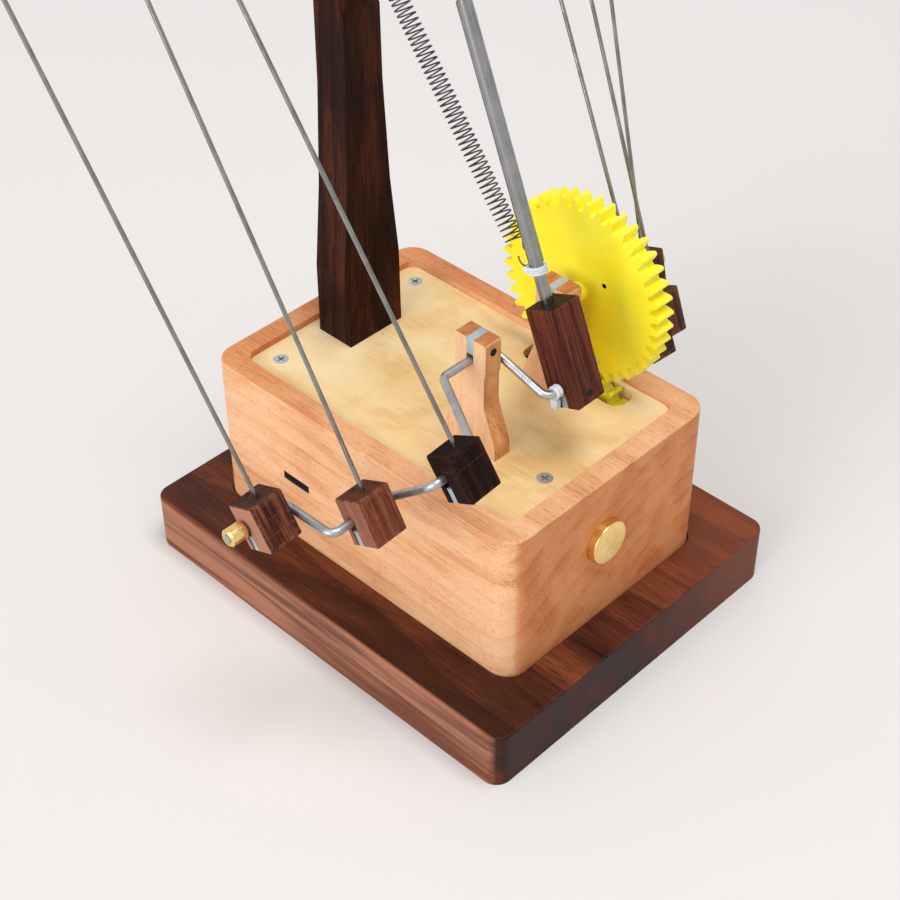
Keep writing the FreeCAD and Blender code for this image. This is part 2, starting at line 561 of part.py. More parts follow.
gear_phase = math.radians(size("gear_phase"))
mesh = math.radians(size("mesh_angle"))
gear_teeth, pinion_teeth = int(size("gear_teeth")), int(size("pinion_teeth"))
pinion_phase = mesh + math.pi - (gear_phase - mesh) * gear_teeth / pinion_teeth + math.pi / pinion_teeth

drive = doc.addObject("Part::Feature", "gear_disc")
disc = toothed_disc(gear_teeth, gear_phase, size("gear_thick"), size("wire_radius"))
hole_angle, hole_circle = math.radians(size("gear_hole_angle")), size("gear_hole_circle")
disc = disc.cut(Part.makeCylinder(size("gear_hole_radius"), size("gear_thick"),
                                  Vector(hole_circle * math.cos(hole_angle),
                                         hole_circle * math.sin(hole_angle), 0)))
drive.Shape = disc
place(drive, (GEAR_X, "crank_y", CRANK_Z), GEAR_TURN)
node("drive_gear", drive)

small = doc.addObject("Part::Feature", "pinion_disc")
small.Shape = toothed_disc(pinion_teeth, pinion_phase, size("pinion_thick"), size("shaft_radius"))
place(small, (PINION_X, PINION_Y, PINION_Z), GEAR_TURN)
node("pinion", small)

spacer_start = f"(post_centre_x + {POST_OUT} + body_gap)"
node("gear_spacer", cut("gear_spacer_cut",
                        rod("spacer_outer", "spacer_radius", f"{GEAR_X} - {spacer_start}",
                            (spacer_start, "crank_y", CRANK_Z), TO_X),
                        rod("spacer_inner", "wire_radius", "2 * gear_gap", (spacer_start, "crank_y", CRANK_Z),
                            TO_X)))

# motor: flat-sided can and gearbox under the plate, shaft along X
node("motor_shaft", rod("motor_shaft_rod", "shaft_radius", "motor_gap - body_gap + pinion_thick",
                        (f"{MOTOR_END} + body_gap", PINION_Y, PINION_Z), TO_X))
node("motor_gearbox", box("gearbox_block", ("gearbox_length", "motor_width", "motor_height"),
                          (f"{MOTOR_END} - gearbox_length", f"{PINION_Y} - motor_width / 2",
                           f"{PINION_Z} - motor_height / 2")))
can = rod("can_round", "motor_width / 2", "motor_length",
          (f"{MOTOR_END} - gearbox_length - motor_length", PINION_Y, PINION_Z), TO_X)
flats = box("can_flats", ("motor_length", "motor_width", "motor_height"),
            (f"{MOTOR_END} - gearbox_length - motor_length", f"{PINION_Y} - motor_width / 2",
             f"{PINION_Z} - motor_height / 2"))
motor_can = doc.addObject("Part::MultiCommon", "can_common")
motor_can.Shapes = [can, flats]
node("motor_can", motor_can)

# bracket that holds the gearbox up against the plate, with an ear and a screw on each side
strap_x = f"({MOTOR_END} - gearbox_length)"
strap_half = "(motor_width / 2 + bracket_thick)"
strap_low = f"({PINION_Z} - motor_height / 2 - bracket_thick)"
strap = box("strap_outer", ("gearbox_length", f"2 * {strap_half}", f"{PLATE_BASE} - {strap_low}"),
            (strap_x, f"{PINION_Y} - {strap_half}", strap_low))
ears = box("strap_ears", ("gearbox_length", f"2 * ({strap_half} + bracket_ear)", "bracket_thick"),
           (strap_x, f"{PINION_Y} - {strap_half} - bracket_ear", f"{PLATE_BASE} - bracket_thick"))
room = box("strap_room", ("gearbox_length", "motor_width", f"{PLATE_BASE} - {strap_low} - bracket_thick"),
           (strap_x, f"{PINION_Y} - motor_width / 2", f"{strap_low} + bracket_thick"))
ear_holes = [rod(f"ear_hole{k}", "motor_screw_radius", "2 * bracket_thick",
                 (f"{MOTOR_END} - gearbox_length / 2", f"{PINION_Y} + {k} * ({strap_half} + bracket_ear / 2)",
                  f"{PLATE_BASE} - 2 * bracket_thick")) for k in (-1, 1)]
node("motor_bracket", cut("strap_cut", fuse("strap_solid", strap, ears), room, *ear_holes))
motor_screws = []
for k in (-1, 1):
    spot = (f"{MOTOR_END} - gearbox_length / 2", f"{PINION_Y} + {k} * ({strap_half} + bracket_ear / 2)")
    stem = rod(f"motor_stem{k + 1}", "motor_screw_radius", "motor_screw_length",
               (*spot, f"{PLATE_BASE} - bracket_thick"))
    head = rod(f"motor_head{k + 1}", "2 * motor_screw_radius", "motor_screw_radius",
               (*spot, f"{PLATE_BASE} - bracket_thick - motor_screw_radius"))
    motor_screws.append(fuse(f"motor_screw{k + 1}", stem, head))
node("motor_screws", group("motor_screw_set", motor_screws))

# column: tapered upright behind the crank, its top cut back where the main rod swings
column = new_body("column_body", ("column_x", "column_y", PLATE_TOP))
slope = "tan(main_lean)"
sections = [("0", "column_half0", "column_deep0", "-column_deep0"),
            ("column_rise1", "column_half1", "column_deep1", "-column_deep1"),
            ("column_rise2", "column_half2", "column_deep1", "-column_deep1"),
            ("column_rise3", "column_half3", "column_deep3", "-column_deep3"),
            ("column_slope_rise", "column_half4", "column_deep3", "-column_deep3"),
            ("column_top", "column_half4", "column_deep3",
             f"-column_deep3 + {slope} * (column_top - column_slope_rise)")]
rings = []
for i, (rise, half_x, back, front) in enumerate(sections):
    sketch = outline(column, f"column_section{i}", "XY_Plane",
                     [(f"-({half_x})", front), (half_x, front), (half_x, back), (f"-({half_x})", back)])
    sketch.setExpression("AttachmentOffset.Base.z", formula(rise))
    rings.append(sketch)
loft = column.newObject("PartDesign::AdditiveLoft", "column_loft")
loft.Profile = rings[0]
loft.Sections = rings[1:]
loft.Ruled = True
doc.recompute()
for i in (-1, 1):
    rod(f"column_pilot{'lr'[i > 0]}", "column_screw_radius", "column_screw_length - plate_thick",
        (f"{i} * column_screw_spacing / 2", "0", "0"), None, column, "SubtractiveCylinder")
rod("eye_pilot", "eye_wire", "eye_depth",
    ("centre_x - column_x", "column_deep3 - eye_back", "column_top - eye_depth"),
    None, column, "SubtractiveCylinder")
node("column", column)
column_screws = []
for i in (-1, 1):
    spot = (f"column_x + {i} * column_screw_spacing / 2", "column_y")
    column_screws.append(fuse(f"column_screw{'lr'[i > 0]}",
                              rod(f"column_stem{'lr'[i > 0]}", "column_screw_radius", "column_screw_length",
                                  (*spot, PLATE_BASE)),
                              rod(f"column_head{'lr'[i > 0]}", "column_screw_head", "column_screw_radius",
                                  (*spot, f"{PLATE_BASE} - column_screw_radius"))))
node("column_screws", group("column_screw_set", column_screws))

# the spring's line starts at the tie and climbs back over the column at the angle of its two ends
LINE = (0.6076, 0.7942)
eye_y = "(column_y + column_deep3 - eye_back)"
eye_z = f"(spring_z + ({eye_y} - spring_y) * {LINE[1]} / {LINE[0]})"
eye_stem = rod("eye_stem", "eye_wire", f"{eye_z} - eye_radius - ({PLATE_TOP} + column_top - eye_depth)",
               ("centre_x", eye_y, f"{PLATE_TOP} + column_top - eye_depth"))
eye_ring = shape("Torus", "eye_ring", {"Radius1": "eye_radius", "Radius2": "eye_wire"},
                 ("centre_x", eye_y, eye_z), TO_X)
node("spring_eye", fuse("spring_eye_pin", eye_stem, eye_ring))


# blocks: each rides on one throw, leaning back and tilting outwards along its own rod
def block_turn(lean, tilt):
    return f"0; -({tilt}); -({lean})"


def bore_turn(lean, tilt):
    return (f"vector(-sin({tilt}) * sin({lean}); cos({tilt}); 0); acos(-sin({tilt}) * cos({lean}))")


for i in range(1, 7):
    jy, jz = journal(f"throw{i}")
    at, turn = (f"block{i}_x", jy, jz), block_turn(f"lean{i}", f"tilt{i}")
    block = new_body(f"block{i}_body", at, turn)
    side_y = "(-block_size / 2 - journal_offset)"
    box(f"block{i}_cube", ("block_size", "block_size", "block_height"),
        ("-block_size / 2", side_y, "-journal_low"),
        None, block, "AdditiveBox")
    soften(block, f"block{i}_edges", "Chamfer", "block_edge", lambda e: True)
    back = (f"-2 * block_size * cos(tilt{i})", f"-2 * block_size * sin(tilt{i}) * sin(lean{i})",
            f"2 * block_size * sin(tilt{i}) * cos(lean{i})")
    rod(f"block{i}_bore", BORE, "4 * block_size", back, bore_turn(f"lean{i}", f"tilt{i}"), block,
        "SubtractiveCylinder")
    box(f"block{i}_slot", ("2 * block_size", "journal_slot", "2 * journal_low"),
        ("-block_size", "-journal_slot / 2", "-2 * journal_low"), None, block, "SubtractiveBox")
    rod(f"block{i}_rodhole", "rod_radius", "block_height", ("0", "-journal_offset - rod_offset",
        "block_height - journal_low - rod_depth"), None, block, "SubtractiveCylinder")
    node(f"block_{i}", block)
    strip = new_body(f"keeper{i}_body", at, turn)
    box(f"keeper{i}_strip",
        ("block_size - 2 * block_edge", "journal_slot",
         "journal_low - wire_radius - keeper_drop - tilt_allowance"),
        ("-block_size / 2 + block_edge", "-journal_slot / 2", "-journal_low"), None, strip, "AdditiveBox")
    node(f"keeper_{i}", strip)
    pole = new_body(f"rod{i}_body", at, turn)
    start = "(block_height - journal_low - rod_depth)"
    reach = f"((rod_top - {jz}) / (cos(lean{i}) * cos(tilt{i})) - {start})"
    rod(f"rod{i}_wire", "rod_radius", reach, ("0", "-journal_offset - rod_offset", start), None, pole,
        "AdditiveCylinder")
    shape("AdditiveTorus", f"rod{i}_eye", {"Radius1": "rod_eye_radius", "Radius2": "rod_radius"},
          ("0", "-journal_offset - rod_offset", f"{start} + {reach} + rod_eye_radius"), TO_MINUS_Y, pole)
    node(f"rod_{i}", pole)

# main block with its pinned strip, rod, sleeve and the tie that holds the spring's hook
jy, jz = journal("main")
main_at, main_turn = ("centre_x", jy, jz), block_turn("main_lean", "0")
main = new_body("main_block_body", main_at, main_turn)
box("main_cube", ("main_width", "main_depth", "main_height"),
    ("-main_width / 2", "-main_depth / 2", "-main_low"),
    None, main, "AdditiveBox")
soften(main, "main_edges", "Chamfer", "block_edge", lambda e: True)
rod("main_bore", BORE, "2 * main_width", ("-main_width", "0", "0"), TO_X, main, "SubtractiveCylinder")
box("main_slot", ("2 * main_width", "journal_slot", "2 * main_low"),
    ("-main_width", "-journal_slot / 2", "-2 * main_low"),
    None, main, "SubtractiveBox")
rod("main_rodhole", "main_rod_radius", "main_height",
    ("0", "main_rod_offset", "main_height - main_low - main_rod_depth"),
    None, main, "SubtractiveCylinder")
rod("main_pinhole", "main_pin_radius", "2 * main_depth", ("0", "-main_depth", "-main_low + main_pin_rise"),
    TO_Y, main,
    "SubtractiveCylinder")
node("main_block", main)

keeper = new_body("main_keeper_body", main_at, main_turn)
box("main_strip", ("main_width - 2 * block_edge", "journal_slot", "main_low - wire_radius - keeper_drop / 2"),
    ("-main_width / 2 + block_edge", "-journal_slot / 2", "-main_low"), None, keeper, "AdditiveBox")
rod("main_strip_hole", "main_pin_radius", "2 * main_depth", ("0", "-main_depth", "-main_low + main_pin_rise"),
    TO_Y,
    keeper, "SubtractiveCylinder")
node("main_keeper", keeper)

pin = new_body("main_pin_body", main_at, main_turn)
rod("main_pin_rod", "main_pin_radius", "main_depth + pin_proud",
    ("0", "-main_depth / 2 - pin_proud", "-main_low + main_pin_rise"),
    TO_Y, pin, "AdditiveCylinder")
node("main_pin", pin)

pole = new_body("main_rod_body", main_at, main_turn)
rod_start = "(main_height - main_low - main_rod_depth)"
rod("main_rod_round", "main_rod_radius", f"main_rod_reach - {rod_start}", ("0", "main_rod_offset", rod_start),
    None, pole,
    "AdditiveCylinder")
node("main_rod", pole)

sleeve = new_body("sleeve_body", main_at, main_turn)
rod("sleeve_outer", "sleeve_radius", "main_rod_reach - sleeve_short - sleeve_start",
    ("0", "main_rod_offset", "sleeve_start"),
    None, sleeve, "AdditiveCylinder")
rod("sleeve_bore", "main_rod_radius", "main_rod_reach", ("0", "main_rod_offset", "sleeve_start - 1"), None,
    sleeve,
    "SubtractiveCylinder")
node("main_sleeve", sleeve)

# band round the rod and through the spring's hook, tipped up by the spring's pull
band = doc.addObject("PartDesign::Body", "rod_tie_body")
band.setExpression("Placement", formula(
    f"placement(vector({main_at[0]}; {main_at[1]}; {main_at[2]}); rotation({main_turn})) * "
    "placement(vector(0; main_rod_offset; rod_tie_height); rotation(0; 0; rod_tie_tilt))"))
inner = "(main_rod_radius + rod_tie_room)"
outer = f"({inner} + rod_tie_band)"
q_near = f"(-rod_tie_back + {inner})"
q_far = f"(rod_tie_reach - rod_tie_band / 2 - {inner})"
for tag, half_band, high, kind in (("out", outer, "rod_tie_width", "Additive"),
                                   ("in", inner, "2 * rod_tie_width", "Subtractive")):
    low = f"-({high}) / 2"
    box(f"tie_{tag}_mid", (f"2 * {half_band}", f"{q_far} - {q_near}", high), (f"-{half_band}", q_near, low),
        None, band, kind + "Box")
    for k, q in enumerate((q_near, q_far)):
        rod(f"tie_{tag}_end{k}", half_band, high, ("0", q, low), None, band, kind + "Cylinder")
box("tie_head", ("tie_head_width - rod_tie_band / 2", "tie_head_length", "tie_head_width"),
    (f"-{outer} - tie_head_width + rod_tie_band", f"{q_near} - tie_head_length / 4", "-tie_head_width / 2"),
    None, band, "AdditiveBox")
node("rod_tie", band)

# tie on the wire beside the main block, its head hanging below
tie_x = "(centre_x - main_width / 2 - body_gap - wire_tie_width - 0.05)"
ring = rod("wire_tie_ring", "wire_tie_radius", "wire_tie_width", (tie_x, jy, jz), TO_X)
head = box("wire_tie_head", ("wire_tie_width", "tie_head_width", "tie_head_length"),
           (tie_x, f"{jy} - tie_head_width / 2", f"{jz} - wire_radius - tie_head_length - body_gap / 3"))
bore = rod("wire_tie_bore", "wire_radius", "2 * wire_tie_width", (f"{tie_x} - wire_tie_width / 2", jy, jz),
           TO_X)
node("wire_tie", cut("wire_tie_cut", fuse("wire_tie_solid", ring, head), bore))


# spring: one wire, a round coil with a hook at each end, all in quarter-turn double arcs
def double_arc(p, t, q, u):
    # two tangent arcs from p along t to q along u
    span = q - p
    both = t + u
    square = 2 * (1 - t.dot(u))
    along = span.dot(both)
    if square < 1e-9:
        reach = span.Length ** 2 / (4 * span.dot(u))
    else:
        reach = (-along + math.sqrt(along ** 2 + square * span.dot(span))) / square
    a, b = p + t * reach, q - u * reach
    joint = (a + b) * 0.5
    arcs = []
    for start, corner, end in ((p, a, joint), (joint, b, q)):
        weight = (end - start).Length / (2 * reach)
        middle = (start + corner * (2 * weight) + end) * (1 / (2 + 2 * weight))
        arcs.append(Part.Arc(start, middle, end))
    return arcs


d = Vector(0, *LINE).normalize()
e1 = Vector(1, 0, 0)
e2 = d.cross(e1)
coil, hook, reach = size("spring_coil"), size("hook_radius"), size("hook_reach")
foot = Vector(size("centre_x"), size("spring_y"), size("spring_z"))
eye_y_value, eye_z_value = numbers([eye_y, eye_z])
ring_centre = Vector(size("centre_x"), eye_y_value, eye_z_value)
hook_inner = hook - size("spring_wire")
top_hook = ring_centre - d * (size("eye_radius") - size("eye_wire") - size("hook_room") + hook_inner)
coil_length = (top_hook - foot).dot(d) - reach
turns = size("spring_turns")
pitch = coil_length / turns


def coil_at(turn):
    angle = 2 * math.pi * turn
    out = e1 * math.cos(angle) + e2 * math.sin(angle)
    across = e2 * math.cos(angle) - e1 * math.sin(angle)
    return foot + d * (pitch * turn) + out * coil, (across * (2 * math.pi * coil) + d
                                                    * pitch).normalize(), across


def hook_points(centre, across, away, last):
    # points and directions round the hook, starting where the wire reaches it
    spots = []
    for angle in range(90, last - 1, -60):
        a = math.radians(angle)
        spots.append((centre + (away * math.cos(a) + across * math.sin(a)) * hook,
                      away * math.sin(a) - across * math.cos(a)))
    return spots


stations = [coil_at(k / 4)[:2] for k in range(int(round(turns * 4)) + 1)]
low_across, high_across = coil_at(0)[2], coil_at(turns)[2]
low_hook = hook_points(foot - d * reach, low_across * -1, d * -1, -150)
high_hook = hook_points(top_hook, high_across, d, -150)
stations = [(p, t * -1) for p, t in reversed(low_hook)] + stations + high_hook
arcs = []
for (p, t), (q, u) in zip(stations, stations[1:]):
    arcs += double_arc(p, t, q, u)
tail = 2 * size("spring_wire")
first, first_way = stations[0]
last, last_way = stations[-1]
lead = [Part.LineSegment(first - first_way * tail, first).toShape()]
trail = [Part.LineSegment(last, last + last_way * tail).toShape()]
path = Part.Wire(lead + [arc.toShape() for arc in arcs] + trail)
section = Part.Wire([Part.Circle(first - first_way * tail, first_way, size("spring_wire")).toShape()])
spring_solid = path.makePipeShell([section], True, False)
spring = doc.addObject("Part::Feature", "spring_wire_path")
spring.Shape = spring_solid
node("spring", spring)

samples = path.discretize(Number=6000)
lengths = [0.0]
for p, q in zip(samples, samples[1:]):
    lengths.append(lengths[-1] + (q - p).Length)
least = min((samples[i] - samples[j]).Length for i in range(0, len(samples), 3)
            for j in range(i + 3, min(i + 200, len(samples)), 2)
            if lengths[j] - lengths[i] > 4.0)
print("spring least gap to itself", round(least - 2 * size("spring_wire"), 3), "turns", turns, "pitch",
      round(pitch, 3))
print("spring volume against section times length",
      round(spring_solid.Volume / (math.pi * size("spring_wire") ** 2 * path.Length), 4))
print("tightest bend of the spring", round(min(arc.toShape().Curve.Radius for arc in arcs), 3))

# touch button with its stem and flange, and the switch behind it
cap = new_body("button_body", ("button_x", "-box_length / 2 - button_proud", "button_z"), TO_Y)
rod("button_cap", "button_radius", "button_head", ("0", "0", "0"), None, cap, "AdditiveCylinder")
wall_in = "(button_proud + box_wall + box_ledge)"
rod("button_stem", "stem_radius", f"{wall_in} + body_gap + flange_thick", ("0", "0", "0"), None, cap,
    "AdditiveCylinder")
rod("button_flange", "flange_radius", "flange_thick", ("0", "0", f"{wall_in} + body_gap"), None, cap,
    "AdditiveCylinder")
soften(cap, "button_edge", "Fillet", "body_gap",
       lambda e: all(abs(v.Point.z) < 1e-6 for v in e.Vertexes)
       and abs(e.Length - 2 * math.pi * size("button_radius")) < 0.1)
node("touch_button", cap)

housing_y = "(-box_length / 2 + box_wall + box_ledge)"
shell = box("housing_shell", ("housing_size", "housing_depth", "housing_size"),
            ("button_x - housing_size / 2", housing_y, "button_z - housing_size / 2"))
hollow = box("housing_hollow",
             ("housing_size - 2 * housing_wall", "housing_depth - housing_wall",
              "housing_size - 2 * housing_wall"),
             ("button_x - housing_size / 2 + housing_wall", housing_y,
              "button_z - housing_size / 2 + housing_wall"))
node("switch_housing", cut("housing_cut", shell, hollow))
node("button_switch", box("switch_block", ("switch_size", "switch_thick", "switch_size"),
                          ("button_x - switch_size / 2",
                           f"{housing_y} + housing_depth - housing_wall - switch_thick",
                           "button_z - switch_size / 2")))

# charging socket on its board, the standoffs below it and the flat cell on the floor
board_top = "(usb_z - socket_height / 2)"
board_x = "(-box_width / 2 + box_wall + box_ledge + body_gap)"
node("usb_socket", box("socket_block", ("socket_length", "socket_width", "socket_height"),
                       ("-box_width / 2 + usb_wall + body_gap", "usb_y - socket_width / 2", board_top)))
tongue = box("board_tongue", ("box_wall + box_ledge - usb_wall", "socket_width", "board_thick"),
             ("-box_width / 2 + usb_wall + 2 * body_gap", "usb_y - socket_width / 2",
              f"{board_top} - board_thick"))
board = box("board_sheet", ("board_length", "board_width", "board_thick"),
            (board_x, "usb_y - board_width / 2", f"{board_top} - board_thick"))
standoffs = []
for sx, bx in (("near", f"({board_x} + standoff_inset)"),
               ("far", f"({board_x} + board_length - standoff_inset)")):
    for sy in (-1, 1):
        by = f"(usb_y + {sy} * (board_width / 2 - standoff_inset))"
        standoffs.append(rod(f"standoff_{sx}{sy + 1}", "standoff_radius",
                             f"{board_top} - board_thick - {FLOOR_TOP}", (bx, by, FLOOR_TOP)))
node("control_board", fuse("board_solid", board, tongue))
node("board_standoffs", group("standoff_set", standoffs))
node("battery", box("battery_block", ("battery_width", "battery_length", "battery_thick"),
                    ("-battery_width / 2", "battery_y - battery_length / 2", FLOOR_TOP)))

# check everything, then write one file per piece
doc.recompute()
problems = [f"{o.Name} {o.State}" for o in doc.Objects if "Invalid" in o.State or "Error" in o.State]
for label, obj in NODES.items():
    if obj.Shape.isNull() or not obj.Shape.isValid() or obj.Shape.Volume <= 0:
        problems.append(f"{label}: bad shape")
if problems:
    raise RuntimeError("; ".join(problems))
os.makedirs("parts", exist_ok=True)
for label, obj in NODES.items():
    obj.Shape.exportStep(f"parts/{label}.step")
    extent = obj.Shape.BoundBox
    print(f"{label:18s} solids {len(obj.Shape.Solids)}  volume {obj.Shape.Volume:9.1f}  "
          f"x {extent.XMin:7.2f} {extent.XMax:7.2f}  y {extent.YMin:7.2f} {extent.YMax:7.2f}  "
          f"z {extent.ZMin:7.2f} {extent.ZMax:7.2f}")
print(len(NODES), "pieces")
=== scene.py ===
import json
import math

import bmesh
import bpy
import numpy as np
from mathutils import Matrix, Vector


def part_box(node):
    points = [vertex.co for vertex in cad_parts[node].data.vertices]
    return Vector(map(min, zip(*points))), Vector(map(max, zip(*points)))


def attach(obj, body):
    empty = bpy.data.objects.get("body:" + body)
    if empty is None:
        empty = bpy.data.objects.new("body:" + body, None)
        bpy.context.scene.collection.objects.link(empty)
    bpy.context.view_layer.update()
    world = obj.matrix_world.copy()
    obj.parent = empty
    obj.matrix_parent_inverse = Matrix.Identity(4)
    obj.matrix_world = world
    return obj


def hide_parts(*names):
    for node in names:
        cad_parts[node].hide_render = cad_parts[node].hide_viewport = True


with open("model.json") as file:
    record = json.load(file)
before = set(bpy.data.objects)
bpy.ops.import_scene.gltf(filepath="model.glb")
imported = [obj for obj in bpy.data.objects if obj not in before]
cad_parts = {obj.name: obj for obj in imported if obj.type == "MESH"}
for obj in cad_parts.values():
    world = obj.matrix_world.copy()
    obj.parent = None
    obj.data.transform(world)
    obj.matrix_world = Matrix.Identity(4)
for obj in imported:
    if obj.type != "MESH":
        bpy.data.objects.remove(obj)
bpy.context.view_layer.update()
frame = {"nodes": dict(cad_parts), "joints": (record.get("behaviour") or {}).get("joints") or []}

# Crank automaton. Lengths in this file are in millimetres until a mesh is written in metres.
MM = 0.001
NODES = frame["nodes"]
JOINTS = {joint["name"]: joint for joint in frame["joints"]}

# the camera, solved from the edges of the box and tray: place, turn in degrees, lens and sensor width in mm
CAMERA_AT = (-295.27, -285.73, 392.36)
CAMERA_TURN = (-45.66, 40.37, -0.33)
CAMERA_LENS, SENSOR = 72.18, 36.0


def pivot(joint):
    return np.array(JOINTS[joint]["pos_m"]) / MM


def tone(red, green, blue):
    """A display colour of 0 to 255 turned to linear light by the usual display curve."""
    light = (np.array((red, green, blue)) / 255 + 0.055) / 1.055
    return (*(light ** 2.4), 1.0)


# finishes

class Finish:
    """One material built from nodes that read the piece's own Object coordinates."""

    def __init__(self, name, rough, metal=0.0, **sockets):
        self.material = bpy.data.materials.new(name)
        self.material.use_nodes = True
        self.tree = self.material.node_tree
        self.shader = self.tree.nodes["Principled BSDF"]
        named = {key.replace("_", " "): value for key, value in sockets.items()}
        self.join(self.shader, {"Roughness": rough, "Metallic": metal, **named})
        self.place = self.tree.nodes.new("ShaderNodeTexCoord")

    def join(self, node, inputs):
        for key, value in inputs.items():
            if isinstance(value, bpy.types.NodeSocket):
                self.tree.links.new(value, node.inputs[key])
            else:
                node.inputs[key].default_value = value

    def node(self, kind, inputs, output=0, **settings):
        made = self.tree.nodes.new("ShaderNode" + kind)
        for key, value in settings.items():
            setattr(made, key, value)
        self.join(made, inputs)
        return made.outputs[output]

    def local(self, at=(0, 0, 0), turn=(0, 0, 0)):
        """Millimetres from the point at, along axes turned by three angles in degrees."""
        return self.node("Mapping", {"Vector": self.place.outputs["Object"], "Location": [v * MM for v in at],
                                     "Rotation": [math.radians(v) for v in turn], "Scale": (MM, MM, MM)},
                         vector_type="TEXTURE")

    def maths(self, operation, a, b=0.0):
        return self.node("Math", {0: a, 1: b}, operation=operation)

    def vector(self, operation, a, b, output=0):
        return self.node("VectorMath", {0: a, 1: b}, output, operation=operation)

    def noise(self, where, size, detail=2.0, bend=0.0, output=0):
        """Noise whose lumps are about size millimetres along each of the three axes."""
        spread = self.vector("MULTIPLY", where, [1.0 / v for v in size])
        return self.node("TexNoise", {"Vector": spread, "Scale": 1.0, "Detail": detail, "Distortion": bend},
                         output)

    def span(self, value, low, high, first=0.0, last=1.0):
        return self.node("MapRange", {"Value": value, "From Min": low, "From Max": high, "To Min": first,
                                      "To Max": last}, interpolation_type="SMOOTHSTEP")

    def ramp(self, value, stops):
        made = self.tree.nodes.new("ShaderNodeValToRGB")
        points = made.color_ramp.elements
        while len(points) < len(stops):
            points.new(0.5)
        for point, (where, colour) in zip(points, stops):
            point.position = where
            point.color = colour if isinstance(colour, tuple) else (colour, colour, colour, 1.0)
        self.tree.links.new(value, made.inputs["Fac"])
        return made.outputs["Color"]

    def mix(self, share, a, b, mode="MIX"):
        return self.node("Mix", {0: share, 6: a, 7: b}, 2, data_type="RGBA", blend_type=mode)

    def parts(self, where):
        made = self.tree.nodes.new("ShaderNodeSeparateXYZ")
        self.tree.links.new(where, made.inputs[0])
        return made.outputs

    def rim(self, where, middle, half, width):
        """1 along a box's edges: the sum of the three depths below its faces less the greatest of them."""
        off = self.vector("ABSOLUTE", self.vector("SUBTRACT", where, list(middle)), (0, 0, 0))
        depth = self.vector("SUBTRACT", list(half), off)
        x, y, z = self.parts(depth)
        total = self.maths("ADD", self.maths("ADD", x, y), z)
        greatest = self.maths("MAXIMUM", self.maths("MAXIMUM", x, y), z)
        return self.span(self.maths("SUBTRACT", total, greatest), 0.1 * width, width, 1.0, 0.0)

    def paint(self, colour, height=None, depth=0.1, strength=0.6, rough=None):
        self.join(self.shader, {"Base Color": colour})
        if rough is not None:
            self.join(self.shader, {"Roughness": rough})
        if height is not None:
            bump = self.node("Bump", {"Height": height, "Strength": strength, "Distance": depth * MM})
            self.join(self.shader, {"Normal": bump})
        return self


def timber(name, tones, at=(0, 0, 0), turn=(0, 0, 0), seed=0.0, ring=5.0, pith=(60.0, 80.0), stray=3.0,
           pore=(0.25, 3.0), pore_share=0.5, figure=(20.0, 60.0), weights=(0.3, 0.3, 0.4), along=(0, 0, 1),
           end_tone=(150, 130, 120), rough=0.5, depth=0.12, overlay=None, gloss=0.14):
    """Wood cut from a round trunk. The third axis runs with the grain. Rings are circles about the pith, a
    distance ring apart, their radius shifted by slow noise; fibres, pores and figure are noise drawn out
    along the grain. Faces across the grain take the end tone."""
    wood = Finish(name, rough, Specular_IOR_Level=gloss)
    where = wood.local(at, turn)
    spot = wood.vector("ADD", where, (seed * 7.3, seed * 3.1, seed * 11.9))
    drift = wood.noise(spot, (45, 45, 120), 1.0)
    flat = wood.vector("MULTIPLY", wood.vector("ADD", where, (-pith[0], -pith[1], 0.0)), (1.0, 1.0, 0.03))
    radius = wood.maths("ADD", wood.vector("LENGTH", flat, (0, 0, 0), 1),
                        wood.maths("MULTIPLY", drift, 4 * stray))
    year = wood.ramp(wood.maths("FRACT", wood.maths("DIVIDE", radius, ring)),
                     [(0.0, 0.15), (0.6, 0.45), (0.9, 1.0), (1.0, 0.15)])
    fibre = wood.span(wood.noise(spot, (0.45, 0.45, 14.0), 4.0), 0.3, 0.7)
    cloud = wood.span(wood.noise(spot, (figure[0], figure[0], figure[1]), 3.0, 0.8), 0.32, 0.68)
    dots = wood.span(wood.noise(spot, (pore[0], pore[0], pore[1]), 1.0), 0.6, 0.72)
    share = wood.maths("MULTIPLY", year, weights[0])
    share = wood.maths("ADD", share, wood.maths("MULTIPLY", fibre, weights[1]))
    share = wood.maths("ADD", share, wood.maths("MULTIPLY", cloud, weights[2]))
    light, middle, dark = (tone(*t) for t in tones)
    colour = wood.ramp(share, [(0.1, light), (0.5, middle), (0.9, dark)])
    colour = wood.mix(wood.maths("MULTIPLY", dots, pore_share), colour,
                      tuple(0.35 * v for v in dark[:3]) + (1.0,))
    facing = wood.vector("DOT_PRODUCT", wood.place.outputs["Normal"], along, 1)
    across = wood.span(wood.maths("ABSOLUTE", facing), 0.8, 0.97)
    colour = wood.mix(across, colour, wood.mix(1.0, colour, tone(*end_tone), "MULTIPLY"))
    height = wood.maths("SUBTRACT", wood.maths("MULTIPLY", fibre, 0.5), dots)
    if overlay:
        colour, height = overlay(wood, where, colour, height)
    shine = wood.span(share, 0.0, 1.0, rough + 0.08, rough - 0.08)
    return wood.paint(colour, height, depth, 0.6, shine)


